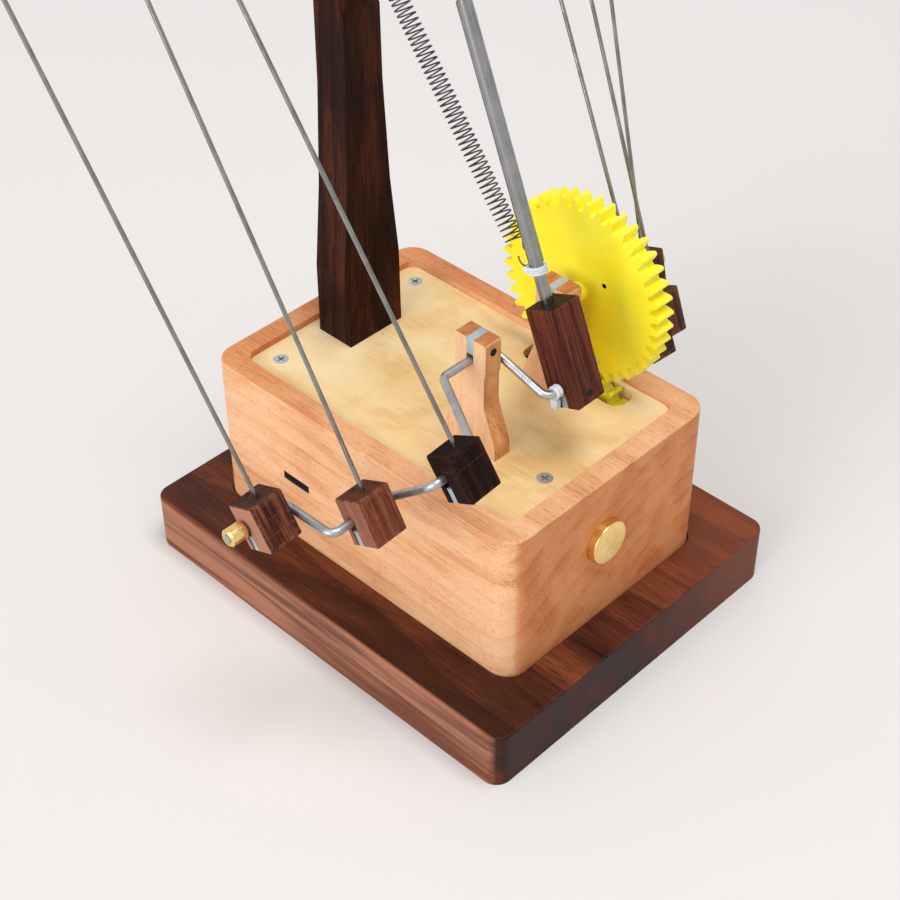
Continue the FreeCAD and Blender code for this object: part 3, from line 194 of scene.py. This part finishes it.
def metal(name, light, dark, rough, streak, at=(0, 0, 0), turn=(0, 0, 0), depth=0.02):
    """Metal with streaks drawn out along its third axis and slow dull patches."""
    made = Finish(name, rough, 1.0)
    where = made.local(at, turn)
    lines = made.span(made.noise(where, streak, 3.0), 0.32, 0.68)
    dull = made.span(made.noise(where, (6, 6, 6), 3.0), 0.35, 0.65)
    share = made.maths("ADD", made.maths("MULTIPLY", lines, 0.5), made.maths("MULTIPLY", dull, 0.5))
    colour = made.mix(share, tone(*light), tone(*dark))
    return made.paint(colour, lines, depth, 0.4, made.span(share, 0, 1, rough - 0.06, rough + 0.12))


def moulded(name, light, dark, rough, layer=None, across=None, depth=0.04, **sockets):
    """Plastic with faint clouds and a grained skin; layer is the height in millimetres of the printed layers
    and across the axis, 0 to 2, that they are stacked along."""
    made = Finish(name, rough, **sockets)
    where = made.local()
    cloud = made.span(made.noise(where, (9, 9, 9), 3.0), 0.3, 0.7)
    skin = made.noise(where, (0.35, 0.35, 0.35), 2.0)
    height = skin
    if layer:
        line = made.maths("FRACT", made.maths("DIVIDE", made.parts(where)[across], layer))
        height = made.maths("ADD", made.maths("MULTIPLY", skin, 0.5), made.maths("PINGPONG", line, 0.5))
    colour = made.mix(cloud, tone(*light), tone(*dark))
    return made.paint(colour, height, depth, 0.5, made.span(skin, 0.3, 0.7, rough - 0.05, rough + 0.08))


def hole_shade(finish, axis_at, radius):
    """Painted shade: darkens a hole along X, everything nearer to its axis than the radius."""
    where = finish.local(axis_at)
    reach = finish.vector("LENGTH", finish.vector("MULTIPLY", where, (0, 1, 1)), (0, 0, 0), 1)
    base = finish.shader.inputs["Base Color"].links[0].from_socket
    inside = finish.span(reach, radius, radius + 0.12, 1.0, 0.0)
    finish.join(finish.shader, {"Base Color": finish.mix(inside, base, tone(40, 30, 6))})


# meshes

def surface(name, grids, finish, body, slot, *stands_for):
    """Each grid of points, rows by columns by 3, becomes quads between neighbours; both directions close on
    themselves where their first and last points meet. Doubled points are joined and faces turned outwards."""
    points, faces, first = [], [], 0
    for grid in grids:
        rows, columns = grid.shape[:2]
        points.append(grid.reshape(-1, 3))
        index = np.arange(rows * columns).reshape(rows, columns) + first
        quads = np.stack([index[:-1, :-1], index[1:, :-1], index[1:, 1:], index[:-1, 1:]], -1)
        faces.append(quads.reshape(-1, 4))
        first += rows * columns
    mesh = bpy.data.meshes.new(name)
    mesh.from_pydata((np.concatenate(points) * MM).tolist(), [], np.concatenate(faces).tolist())
    work = bmesh.new()
    work.from_mesh(mesh)
    bmesh.ops.remove_doubles(work, verts=work.verts, dist=1e-6)
    bmesh.ops.dissolve_degenerate(work, edges=work.edges, dist=1e-7)
    bmesh.ops.recalc_face_normals(work, faces=work.faces)
    work.to_mesh(mesh)
    work.free()
    mesh.polygons.foreach_set("use_smooth", np.ones(len(mesh.polygons), bool))
    mesh.materials.append(finish.material)
    piece = bpy.data.objects.new(name, mesh)
    bpy.context.scene.collection.objects.link(piece)
    split = piece.modifiers.new("edges", "EDGE_SPLIT")
    split.split_angle = math.radians(38)
    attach(piece, body)
    if stands_for:
        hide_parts(*stands_for)
    return piece


def lathe(profile, start, axis, side, count=96):
    """Profile of pairs (s, r) turned about an axis: start + s axis + r (cos t side + sin t axis x side)."""
    axis, side = np.array(axis, float), np.array(side, float)
    other = np.cross(axis, side)
    turn = np.linspace(0, 2 * np.pi, count + 1)
    along, radius = np.array(profile, float).T
    ring = np.cos(turn)[:, None] * side + np.sin(turn)[:, None] * other
    return np.array(start) + along[:, None, None] * axis + radius[:, None, None] * ring[None]


def lump(middle, half, axes, power=0.35, count=36):
    """Rounded brick: x, y, z = half sizes times signed powers of cos and sin of the two sphere angles."""
    bow = lambda v: np.sign(v) * np.abs(v) ** power
    up, turn = np.meshgrid(np.linspace(-np.pi / 2, np.pi / 2, count), np.linspace(0, 2 * np.pi, 2 * count),
                           indexing="ij")
    local = np.stack([half[0] * bow(np.cos(up)) * bow(np.cos(turn)),
                      half[1] * bow(np.cos(up)) * bow(np.sin(turn)),
                      half[2] * bow(np.sin(up))], -1)
    return np.array(middle) + local @ np.array(axes, float)


def race(near, far, profile, axes, middle, count=48):
    """Profile of pairs (radius, level) carried round two half circles whose centres lie at near and far on
    the second axis, joined by straight runs; level runs along the third axis."""
    half = np.linspace(0, np.pi, count)
    turn = np.concatenate([half, half + np.pi, [0.0]])
    shift = np.concatenate([np.full(count, far), np.full(count, near), [far]])
    reach, level = np.array(profile, float).T[:, :, None]
    level = np.repeat(level, len(turn), 1)
    local = np.stack([reach * np.cos(turn), reach * np.sin(turn) + shift, level], -1)
    return np.array(middle) + local @ np.array(axes, float)


def ridged(radius, thick, high, ridges):
    """Closed section of a strap: flat inside, thickness times 0.78 + 0.22 |sin| outside."""
    up = np.linspace(-1, 1, 8 * ridges + 1)
    swell = radius + thick * (0.78 + 0.22 * np.abs(np.sin(np.pi * ridges * (up + 1) / 2)))
    loop = [(radius, -1.0), *zip(swell, up), (radius, 1.0), (radius, -1.0)]
    return [(reach, level * high / 2) for reach, level in loop]


def lean_axes(lean, tilt=0.0):
    """Rows are the three axes of a part leaned back about X and then tilted about Y, in degrees."""
    a, b = math.radians(-lean), math.radians(-tilt)
    about_x = np.array([[1, 0, 0], [0, math.cos(a), -math.sin(a)], [0, math.sin(a), math.cos(a)]])
    about_y = np.array([[math.cos(b), 0, math.sin(b)], [0, 1, 0], [-math.sin(b), 0, math.cos(b)]])
    return (about_y @ about_x).T


# wood of the stand

GRAIN_Y = (-90, 0, 0)


def pale_side(wood, where, colour, height):
    """The left side of the tray, past x = -59 mm, is lighter and streaked, and the top grows redder to the
    right and darker to the left."""
    x = wood.maths("ADD", wood.parts(where)[0],
                   wood.maths("MULTIPLY", wood.noise(where, (14, 14, 60), 3.0), 30.0))
    red = wood.span(x, 10.0, 70.0, 0.0, 0.5)
    left_dark = wood.span(x, -15.0, -45.0, 0.0, 0.5)
    colour = wood.mix(red, colour, tone(146, 76, 46))
    colour = wood.mix(left_dark, colour, tone(52, 24, 15))
    streak = wood.span(wood.noise(where, (3.5, 3.5, 70), 4.0, 0.6), 0.34, 0.66)
    left_side = wood.span(wood.parts(where)[0], -58.6, -59.9, 0.0, 0.8)
    return wood.mix(left_side, colour, wood.mix(streak, tone(182, 122, 92), tone(116, 66, 47))), height


def shaded_rim_top(wood, where, colour, height):
    """Painted shade: the upward faces of the box are made a little darker and redder than its sides, most of
    all to the back and right, standing in for the shade of the parts above.
    """
    up = wood.span(wood.vector("DOT_PRODUCT", wood.place.outputs["Normal"], (0, 0, 1), 1), 0.6, 0.95)
    far = wood.vector("DOT_PRODUCT", wood.place.outputs["Object"], (0.5 / MM, 0.8 / MM, 0.0), 1)
    share = wood.maths("MULTIPLY", up, wood.span(far, -55.0, 40.0, 0.1, 1.0))
    # painted shade: upward faces multiplied towards a darker, redder tone
    return wood.mix(share, colour, wood.mix(1.0, colour, tone(240, 212, 190), "MULTIPLY")), height


def lit_left_faces(wood, where, colour, height):
    """Painted light: the left faces of the posts, turned to the window lamp, are made paler."""
    left = wood.span(wood.vector("DOT_PRODUCT", wood.place.outputs["Normal"], (-1, 0, 0), 1), 0.7, 0.95, 0.0,
                     0.5)
    # painted light on faces turned to -X
    return wood.mix(left, colour, tone(246, 212, 178)), height


walnut_tray = timber("walnut_oiled", [(132, 70, 42), (78, 38, 24), (34, 16, 11)], turn=GRAIN_Y, ring=11.0,
                     pith=(-140.0, 150.0), stray=9.0, pore=(0.35, 4.5), figure=(17.0, 70.0),
                     weights=(0.3, 0.2, 0.5),
                     along=(0, 1, 0), end_tone=(172, 158, 160), rough=0.42, depth=0.15, overlay=pale_side)
# the box's upward faces carry painted shade from its overlay
beech_box = timber("beech_oiled", [(240, 192, 150), (231, 174, 128), (204, 134, 88)], turn=GRAIN_Y, seed=2.0,
                   ring=6.5, pith=(81.0, 183.0), stray=2.0, pore=(0.22, 2.6), pore_share=0.45,
                   figure=(14.0, 50.0),
                   weights=(0.22, 0.3, 0.42), along=(0, 1, 0), end_tone=(240, 206, 180), rough=0.5,
                   depth=0.08,
                   overlay=shaded_rim_top)
birch_plate = timber("birch_bare", [(246, 221, 174), (238, 204, 148), (212, 158, 92)], turn=GRAIN_Y, seed=5.0,
                     ring=30.0, pith=(0.0, 300.0), stray=8.0, pore=(0.2, 1.6), pore_share=0.12,
                     figure=(22.0, 30.0),
                     weights=(0.12, 0.16, 0.48), along=(0, 1, 0), end_tone=(235, 220, 205), rough=0.55,
                     depth=0.05)
# the posts' left faces carry painted light from their overlay
beech_post = timber("beech_upright", [(238, 184, 132), (222, 156, 102), (190, 120, 72)], seed=8.0, ring=4.0,
                    pith=(40.0, 60.0), stray=1.5, pore=(0.2, 2.4), pore_share=0.5, figure=(8.0, 30.0),
                    end_tone=(220, 200, 190), rough=0.48, depth=0.08, overlay=lit_left_faces)
walnut_column = timber("walnut_upright", [(82, 42, 28), (46, 22, 15), (21, 10, 7)], seed=11.0, ring=5.0,
                       pith=(30.0, -40.0), stray=4.0, pore=(0.3, 4.0), figure=(7.0, 45.0),
                       weights=(0.35, 0.25, 0.4),
                       end_tone=(170, 160, 160), rough=0.5, depth=0.12, gloss=0.05)

# wood of the blocks

WIRE_RADIUS = 1.2
BLOCK_SIZE, BLOCK_TALL, BLOCK_LOW, BLOCK_BACK = 10.5, 14.0, 7.15, 2.0
ROD_BACK, ROD_RADIUS = 1.0, 0.6

# per block: lean and tilt in degrees, tones, levels of the saw lines, painted light on the left face, edge
# wear
BLOCKS = {
    1: (24.9, 6.0, [(134, 78, 58), (84, 44, 32), (36, 17, 13)], (1.6, -2.6), 0.58, 0.18),
    2: (26.6, 2.9, [(146, 84, 60), (112, 59, 40), (74, 36, 24)], (), 0.22, 0.18),
    3: (29.5, 5.0, [(50, 26, 20), (29, 14, 11), (13, 7, 6)], (2.4,), 0.0, 0.04),
    4: (27.2, -5.0, [(110, 70, 56), (70, 42, 34), (36, 21, 18)], (), 0.0, 0.18),
    5: (24.6, -5.1, [(124, 82, 64), (84, 52, 40), (44, 26, 21)], (), 0.0, 0.18),
    6: (17.6, -5.4, [(110, 72, 58), (72, 44, 35), (38, 22, 19)], (), 0.0, 0.18),
}


def worked(middle, half, rod_at, rod_radius, cuts=(), pale=0.0, wear=0.2):
    """Marks on a block: pale worn edges, dark rings round bore and rod, and thin pale saw lines; and painted
    light, a paler left face towards the window lamp."""
    def overlay(wood, where, colour, height):
        x, y, z = wood.parts(where)
        # painted light: the left face, turned to the window lamp, is lightened
        side = wood.maths("MULTIPLY", wood.span(x, -half[0] + 0.12, -half[0] + 0.03), pale)
        colour = wood.mix(side, colour, tone(206, 150, 124))
        scuff = wood.span(wood.noise(where, (1.2, 1.2, 1.2), 3.0), 0.35, 0.65)
        edge = wood.maths("MULTIPLY", wood.rim(where, middle, half, 0.5), scuff)
        colour = wood.mix(wood.maths("MULTIPLY", edge, wear), colour, tone(170, 122, 98))
        bore = wood.vector("LENGTH", wood.vector("MULTIPLY", where, (0, 1, 1)), (0, 0, 0), 1)
        from_rod = wood.vector("MULTIPLY", wood.vector("SUBTRACT", where, rod_at), (1, 1, 0))
        hole = wood.vector("LENGTH", from_rod, (0, 0, 0), 1)
        roof = middle[2] + half[2]
        # a darkened ring round the wire's bore, and near the top round the rod's hole
        dark_ring = wood.maths("MAXIMUM", wood.span(bore, WIRE_RADIUS + 0.05, WIRE_RADIUS + 0.8, 1.0, 0.0),
                          wood.maths("MULTIPLY", wood.span(hole, rod_radius, rod_radius + 0.55, 1.0, 0.0),
                                     wood.span(z, roof - 1.0, roof - 0.2)))
        colour = wood.mix(wood.maths("MULTIPLY", dark_ring, 0.85), colour, tone(14, 9, 8))
        for level in cuts:
            line = wood.span(wood.maths("ABSOLUTE", wood.maths("SUBTRACT", z, level)), 0.08, 0.2, 1.0, 0.0)
            line = wood.maths("MULTIPLY", line, scuff)
            colour = wood.mix(wood.maths("MULTIPLY", line, 0.12 + 0.9 * wear), colour, tone(150, 108, 90))
            height = wood.maths("SUBTRACT", height, line)
        return colour, height
    return overlay


for number, (lean, tilt, tones, cuts, pale, wear) in BLOCKS.items():
    middle = (0.0, -BLOCK_BACK / 2, BLOCK_TALL / 2 - BLOCK_LOW)
    half = (BLOCK_SIZE / 2, BLOCK_SIZE / 2, BLOCK_TALL / 2)
    grain = timber(f"walnut_block_{number}", tones, at=pivot(f"pivot_{number}"), turn=(-lean, -tilt, 0),
                   seed=number * 1.37, ring=2.6, pith=(9.0 + number, 14.0), stray=0.8, pore=(0.22, 2.2),
                   pore_share=0.55, figure=(2.2, 16.0), weights=(0.3, 0.35, 0.35),
                   along=lean_axes(lean, tilt)[2], end_tone=(190, 180, 178), rough=0.5, depth=0.12,
                   gloss=0.06,
                   overlay=worked(middle, half, (0.0, ROD_BACK, 0.0), ROD_RADIUS, cuts, pale, wear))
    NODES[f"block_{number}"].data.materials.clear()
    NODES[f"block_{number}"].data.materials.append(grain.material)

MAIN_LEAN = 22.0
MAIN_WIDTH, MAIN_DEPTH, MAIN_TALL, MAIN_LOW = 10.9, 10.4, 29.1, 6.0
ROD_BACK_MAIN, MAIN_ROD_HOLE = 1.7, 1.75
main_axes = lean_axes(MAIN_LEAN)
main_middle = (0.0, 0.0, MAIN_TALL / 2 - MAIN_LOW)
main_half = (MAIN_WIDTH / 2, MAIN_DEPTH / 2, MAIN_TALL / 2)
rosewood = timber("rosewood_block", [(124, 64, 44), (88, 44, 32), (46, 22, 17)], at=pivot("main_pivot"),
                  turn=(-MAIN_LEAN, 0, 0), seed=3.3, ring=1.9, pith=(16.0, 22.0), stray=0.7, pore=(0.2, 3.2),
                  pore_share=0.6, figure=(1.6, 24.0), weights=(0.35, 0.35, 0.3), along=main_axes[2],
                  end_tone=(100, 92, 92), rough=0.42, depth=0.12, gloss=0.06,
                  overlay=worked(main_middle, main_half, (0.0, ROD_BACK_MAIN, 0.0), MAIN_ROD_HOLE, wear=0.08))

# metals and plastics

wire_steel = metal("drawn_wire", (196, 198, 200), (152, 154, 157), 0.4, (8.0, 0.25, 0.25))
rod_wire = metal("rod_wire", (160, 158, 154), (112, 110, 107), 0.26, (0.2, 0.2, 20.0), turn=(-25, 0, 0))
tube_steel = metal("drawn_tube", (168, 168, 167), (134, 135, 136), 0.24, (0.3, 0.3, 40.0), turn=(-22, 0, 0))
spring_wire = metal("music_wire", (104, 102, 100), (52, 50, 48), 0.35, (0.3, 0.3, 0.3))
zinc = metal("zinc_plate", (214, 215, 218), (170, 172, 176), 0.3, (0.3, 3.0, 3.0))
brass = metal("polished_brass", (248, 220, 150), (232, 194, 114), 0.22, (0.25, 6.0, 0.25))
yellow = moulded("yellow_print", (255, 247, 50), (255, 238, 26), 0.36, 0.2, 0, 0.05, Specular_IOR_Level=0.7)
PEG_CIRCLE, PEG_ANGLE, PEG_RADIUS = 10.6, math.radians(146.6), 0.7
peg_way = np.array((0.0, math.cos(PEG_ANGLE), math.sin(PEG_ANGLE)))
# the pin hole in the gear gets painted shade
hole_shade(yellow, pivot("crank_turn") + PEG_CIRCLE * peg_way, PEG_RADIUS)
strip_grey = moulded("strip_grey", (176, 186, 188), (150, 160, 164), 0.45)
black = moulded("black_nylon", (16, 16, 17), (9, 9, 10), 0.55, Specular_IOR_Level=0.25)
nylon = moulded("milky_nylon", (226, 230, 232), (202, 208, 212), 0.32, depth=0.06, Subsurface_Weight=0.15,
                Subsurface_Scale=0.001)
board = moulded("board_mask", (22, 92, 52), (14, 70, 40), 0.3)
# the socket's mouth and shell are dark as painted shade of the slot, not their own metal colour
socket_shade = moulded("socket_shade", (66, 60, 57), (50, 46, 43), 0.5, Specular_IOR_Level=0.2)
shaded_shell = metal("shaded_shell", (44, 45, 47), (24, 25, 27), 0.45, (1.0, 1.0, 1.0))
foil = metal("cell_foil", (205, 208, 212), (160, 164, 170), 0.38, (3.0, 3.0, 3.0))

FINISHES = {
    walnut_tray: ["base_tray"], beech_box: ["box_frame"], birch_plate: ["top_plate"],
    beech_post: ["post_left", "post_right"], walnut_column: ["column"], rosewood: ["main_block"],
    zinc: ["tray_screws", "plate_screws", "column_screws", "motor_screws", "spring_eye", "motor_shaft",
           "motor_can", "motor_bracket"],
    shaded_shell: ["usb_socket"], wire_steel: ["crankshaft"], rod_wire: [f"rod_{i}" for i in BLOCKS],
    tube_steel: ["main_rod", "main_sleeve"], spring_wire: ["spring"],
    brass: ["touch_button", "collar_left", "collar_right", "motor_gearbox"],
    yellow: ["drive_gear", "gear_spacer", "pinion"],
    strip_grey: ["post_keeper_left", "post_keeper_right", "main_keeper"] + [f"keeper_{i}" for i in BLOCKS],
    black: ["post_pin_left", "post_pin_right", "main_pin", "button_switch", "switch_housing"],
    nylon: ["wire_tie", "rod_tie", "board_standoffs"], board: ["control_board"], foil: ["battery"],
}
for finish, names in FINISHES.items():
    for name in names:
        NODES[name].data.materials.clear()
        NODES[name].data.materials.append(finish.material)

# turned brass and ties

X_AXIS, Y_AXIS, Z_AXIS = np.eye(3)


COLLAR_BORE, COLLAR_RIM = 1.22, 0.3


def turned_collar(node, outward):
    """Collar with a chamfered rim, a recessed face and a fine tool line, turned about X."""
    low, high = (np.array(v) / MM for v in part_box(node))
    middle, length = (low + high) / 2, high[0] - low[0]
    radius = (high[2] - low[2]) / 2
    groove = [(length - 1.5, radius), (length - 1.42, radius - 0.12), (length - 1.34, radius)]
    rim = [(length - 0.42, radius), (length, radius - 0.42), (length, radius - 0.8),
           (length - 0.3, radius - 0.95)]
    profile = [(0.0, COLLAR_BORE), (0.0, radius - COLLAR_RIM), (COLLAR_RIM, radius), *groove, *rim,
               (length - 0.3, COLLAR_BORE), (0.0, COLLAR_BORE)]
    start = (low[0] if outward > 0 else high[0], middle[1], middle[2])
    return lathe(profile, start, outward * X_AXIS, Z_AXIS)


surface("turned_collar_left", [turned_collar("collar_left", -1)], brass, "crank", "brass", "collar_left")
surface("turned_collar_right", [turned_collar("collar_right", 1)], brass, "crank", "brass", "collar_right")

button_low, button_high = (np.array(v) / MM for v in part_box("touch_button"))
button_middle = (button_low + button_high) / 2
button_radius = (button_high[2] - button_low[2]) / 2
button_length = button_high[1] - button_low[1]
BUTTON_EDGE, BUTTON_HEAD, STEM_RADIUS, FLANGE_RADIUS, FLANGE_THICK = 0.45, 4.7, 1.8, 2.8, 1.0
rounding = [(BUTTON_EDGE - BUTTON_EDGE * math.cos(a), button_radius - BUTTON_EDGE + BUTTON_EDGE * math.sin(a))
            for a in np.linspace(0, np.pi / 2, 9)]
button_profile = [(0.0, 0.0), *rounding, (BUTTON_HEAD, button_radius), (BUTTON_HEAD, STEM_RADIUS),
                  (button_length - FLANGE_THICK, STEM_RADIUS), (button_length - FLANGE_THICK, FLANGE_RADIUS),
                  (button_length, FLANGE_RADIUS), (button_length, 0.0)]
button_start = (button_middle[0], button_low[1], button_middle[2])
surface("polished_button", [lathe(button_profile, button_start, Y_AXIS, Z_AXIS)], brass, "button", "brass",
        "touch_button")

# tie drawn tight round the main rod, a little off square, its cut tail at the side
TIE_TILT, TIE_RISE = 4.0, 32.6
tie_middle = pivot("main_pivot") + np.array((0.0, ROD_BACK_MAIN, TIE_RISE)) @ main_axes
tip = math.radians(TIE_TILT)
tip_axes = np.array([[1, 0, 0], [0, math.cos(tip), math.sin(tip)],
                     [0, -math.sin(tip), math.cos(tip)]]) @ main_axes
strap = race(0.0, 0.42, ridged(1.76, 0.85, 2.2, 3), tip_axes, tie_middle)
tie_head = lump(tie_middle + np.array((-1.2, 2.75, 0.35)) @ tip_axes, (1.1, 0.75, 1.05), tip_axes)
surface("ridged_rod_tie", [strap, tie_head], nylon, "main_link", "white_nylon", "rod_tie")

# tie on the wire beside the main block, head hanging
low, high = (np.array(v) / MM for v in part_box("wire_tie"))
wire_at = pivot("main_pivot")
wire_middle = (0.5 * (low[0] + high[0]), wire_at[1], wire_at[2])
wire_strap = race(0.0, 0.0, ridged(1.22, 0.75, high[0] - low[0] - 0.2, 2), [Y_AXIS, Z_AXIS, X_AXIS],
                  wire_middle)
head_middle = (wire_middle[0], wire_at[1], low[2] + 1.8)
wire_head = lump(head_middle, (1.05, 1.15, 1.6), np.eye(3))
surface("ridged_wire_tie", [wire_strap, wire_head], nylon, "crank", "white_nylon", "wire_tie")

# mouth of the charging socket, dark as painted shade of the slot

SOCKET_AT = (-41.9, 25.1, 41.5)
MOUTH = [(0.0, -2.3), (1.42, -2.3), (1.42, -0.08), (1.32, 0.0), (1.12, -0.05), (1.08, -1.9), (0.0, -1.9)]
surface("socket_mouth", [race(-3.98, 3.98, MOUTH, [Z_AXIS, Y_AXIS, -X_AXIS], SOCKET_AT)], socket_shade,
        "stand",
        "socket_metal")

# spring

SPRING_WAY = np.array((0.0, 0.6076, 0.7942))
SPRING_WAY /= np.linalg.norm(SPRING_WAY)
SPRING_FOOT = np.array((1.5, -20.1, 126.5))
SPRING_TOP = np.array((1.5, 43.489, 209.617))
COIL, TURNS, REACH, WIRE, LOOP = 2.4, 64.25, 4.2, 0.225, 2.5


def bridge(p, t, q, u, reach, count=28):
    """Smooth curve from p along t to q along u: the cubic whose end slopes are t and u times reach."""
    s = np.linspace(0, 1, count)[:, None]
    return ((2 * s ** 3 - 3 * s ** 2 + 1) * p + (s ** 3 - 2 * s ** 2 + s) * t * reach
            + (3 * s ** 2 - 2 * s ** 3) * q + (s ** 3 - s ** 2) * u * reach)


def tube(path, guide, radius, sides=10):
    """Circle carried along a path: path + radius (cos a m + sin a n), m across both the path and the guide
    direction, n across the path and m. The ends close on the path."""
    way = np.gradient(path, axis=0)
    way /= np.linalg.norm(way, axis=1, keepdims=True)
    m = np.cross(way, guide)
    m /= np.linalg.norm(m, axis=1, keepdims=True)
    n = np.cross(way, m)
    turn = np.linspace(0, 2 * np.pi, sides + 1)
    rings = path[:, None] + radius * (np.cos(turn)[:, None] * m[:, None] + np.sin(turn)[:, None] * n[:, None])
    return np.concatenate([np.repeat(path[:1, None], sides + 1, 1), rings,
                           np.repeat(path[-1:, None], sides + 1, 1)])


def spring_path():
    """Coil: foot + rise along the spring's way + radius (cos e1 + sin e2). Below it a round loop in the plane
    of X and the line to the tie; above it a round hook in the plane of the spring's way and the coil's last
    step."""
    e1, e2 = X_AXIS, np.cross(SPRING_WAY, X_AXIS)
    pitch = ((SPRING_TOP - SPRING_FOOT) @ SPRING_WAY - REACH) / TURNS
    angle = np.linspace(0, 2 * np.pi * TURNS, int(TURNS * 26))[:, None]
    coil = SPRING_FOOT + SPRING_WAY * pitch * angle / (2 * np.pi) + COIL * (np.cos(angle) * e1
                                                                            + np.sin(angle) * e2)
    step = lambda a: (2 * math.pi * COIL * (math.cos(a) * e2 - math.sin(a) * e1) + pitch * SPRING_WAY)
    first, last = (step(a) / np.linalg.norm(step(a)) for a in (0.0, 2 * math.pi * TURNS))
    touch = pivot("main_pivot") + np.array((0.0, ROD_BACK_MAIN + 1.98, TIE_RISE + 0.75)) @ main_axes
    down = touch - SPRING_FOOT
    down /= np.linalg.norm(down)
    centre = touch - LOOP * down
    t = np.radians(np.linspace(-128, 150, 60))[:, None]
    loop = centre + LOOP * (np.cos(t) * down + np.sin(t) * X_AXIS)
    loop_way = -np.sin(t[-1]) * down + np.cos(t[-1]) * X_AXIS
    leg = bridge(loop[-1], loop_way, coil[0], first, 4.5)
    across = last - SPRING_WAY * (last @ SPRING_WAY)
    across /= np.linalg.norm(across)
    u = np.radians(np.linspace(90, -150, 50))[:, None]
    hook = SPRING_TOP + COIL * (np.cos(u) * SPRING_WAY + np.sin(u) * across)
    high_leg = bridge(coil[-1], last, hook[0], SPRING_WAY, 4.0)
    path = np.concatenate([loop, leg[1:-1], coil, high_leg[1:-1], hook])
    counts = (len(loop), len(leg) - 2, len(coil), len(high_leg) - 2, len(hook))
    flat, top = np.cross(down, X_AXIS), np.cross(SPRING_WAY, across)
    near, far = np.linspace(0, 1, counts[1])[:, None], np.linspace(0, 1, counts[3])[:, None]
    guide = np.concatenate([np.tile(flat, (counts[0], 1)), (1 - near) * flat + near * SPRING_WAY,
                            np.tile(SPRING_WAY, (counts[2], 1)), (1 - far) * SPRING_WAY + far * top,
                            np.tile(top, (counts[4], 1))])
    return path, guide


surface("wound_spring", [tube(*spring_path(), WIRE)], spring_wire, "stand", "spring_steel", "spring")

# floor, light and camera

FLOOR = 3000.0
floor_mesh = bpy.data.meshes.new("pale_floor")
floor_corners = np.array([[-1, -1, 0], [1, -1, 0], [1, 1, 0], [-1, 1, 0]]) * FLOOR * MM
floor_mesh.from_pydata(floor_corners.tolist(), [], [(0, 1, 2, 3)])
floor = bpy.data.objects.new("pale_floor", floor_mesh)
bpy.context.scene.collection.objects.link(floor)
paper = Finish("pale_paper", 0.8, Specular_IOR_Level=0.1)
paper.paint(paper.mix(paper.noise(paper.local(), (120, 120, 120)), tone(230, 227, 225), tone(227, 224, 222)))
floor_mesh.materials.append(paper.material)

# the sky fills shadows more softly than it looks to the camera and in metal
SKY_FILL, SKY_SEEN = (0.5, 0.5, 0.5, 1.0), (0.82, 0.81, 0.80, 1.0)
world = bpy.data.worlds.new("soft_room")
bpy.context.scene.world = world
world.use_nodes = True
sky = world.node_tree
back = sky.nodes["Background"]
seen = sky.nodes.new("ShaderNodeLightPath")
first = sky.nodes.new("ShaderNodeMath")
second = sky.nodes.new("ShaderNodeMath")
first.operation = second.operation = "MAXIMUM"
share = sky.nodes.new("ShaderNodeMix")
share.data_type = "RGBA"
share.inputs[6].default_value = SKY_FILL
share.inputs[7].default_value = SKY_SEEN
sky.links.new(seen.outputs["Is Camera Ray"], first.inputs[0])
sky.links.new(seen.outputs["Is Glossy Ray"], first.inputs[1])
sky.links.new(first.outputs[0], second.inputs[0])
sky.links.new(seen.outputs["Is Transmission Ray"], second.inputs[1])
sky.links.new(second.outputs[0], share.inputs[0])
sky.links.new(share.outputs[2], back.inputs["Color"])
back.inputs["Strength"].default_value = 1.0


def basis(right, up, back, at):
    """Columns of the 4 by 4 matrix: three axes and the place."""
    made = np.eye(4)
    made[:3, 0], made[:3, 1], made[:3, 2], made[:3, 3] = right, up, back, np.array(at) * MM
    return made.tolist()


def softbox(name, at, aim, width, power, colour):
    """Square lamp whose back axis points from the aim to the lamp."""
    back = (np.array(at) - np.array(aim)).astype(float)
    back /= np.linalg.norm(back)
    right = np.cross((0.0, 1.0, 0.1), back)
    right /= np.linalg.norm(right)
    lamp = bpy.data.lights.new(name, "AREA")
    lamp.shape, lamp.size, lamp.energy, lamp.color = "SQUARE", width, power, colour
    made = bpy.data.objects.new(name, lamp)
    made.matrix_world = Matrix(basis(right, np.cross(back, right), back, at))
    bpy.context.scene.collection.objects.link(made)


softbox("overhead", (60, -480, 2250), (0, 0, 60), 0.95, 24.5, (0.995, 0.995, 1.0))
softbox("window", (-3400, -90, 1360), (0, 0, 60), 2.4, 86.0, (0.995, 0.995, 1.0))

turn, rise, roll = (math.radians(v) for v in CAMERA_TURN)
away = np.array((math.sin(turn) * math.cos(rise), -math.cos(turn) * math.cos(rise), math.sin(rise)))
right = np.array((math.cos(turn), math.sin(turn), 0.0))
up = np.cross(away, right)
rolled_right = math.cos(roll) * right + math.sin(roll) * up
rolled_up = -math.sin(roll) * right + math.cos(roll) * up
lens = bpy.data.cameras.new("viewpoint")
lens.lens, lens.sensor_width, lens.clip_start, lens.clip_end = CAMERA_LENS, SENSOR, 0.01, 20.0
viewpoint = bpy.data.objects.new("viewpoint", lens)
viewpoint.matrix_world = Matrix(basis(rolled_right, rolled_up, away, CAMERA_AT))
bpy.context.scene.collection.objects.link(viewpoint)
bpy.context.scene.camera = viewpoint
bpy.context.scene.view_settings.view_transform = "Standard"
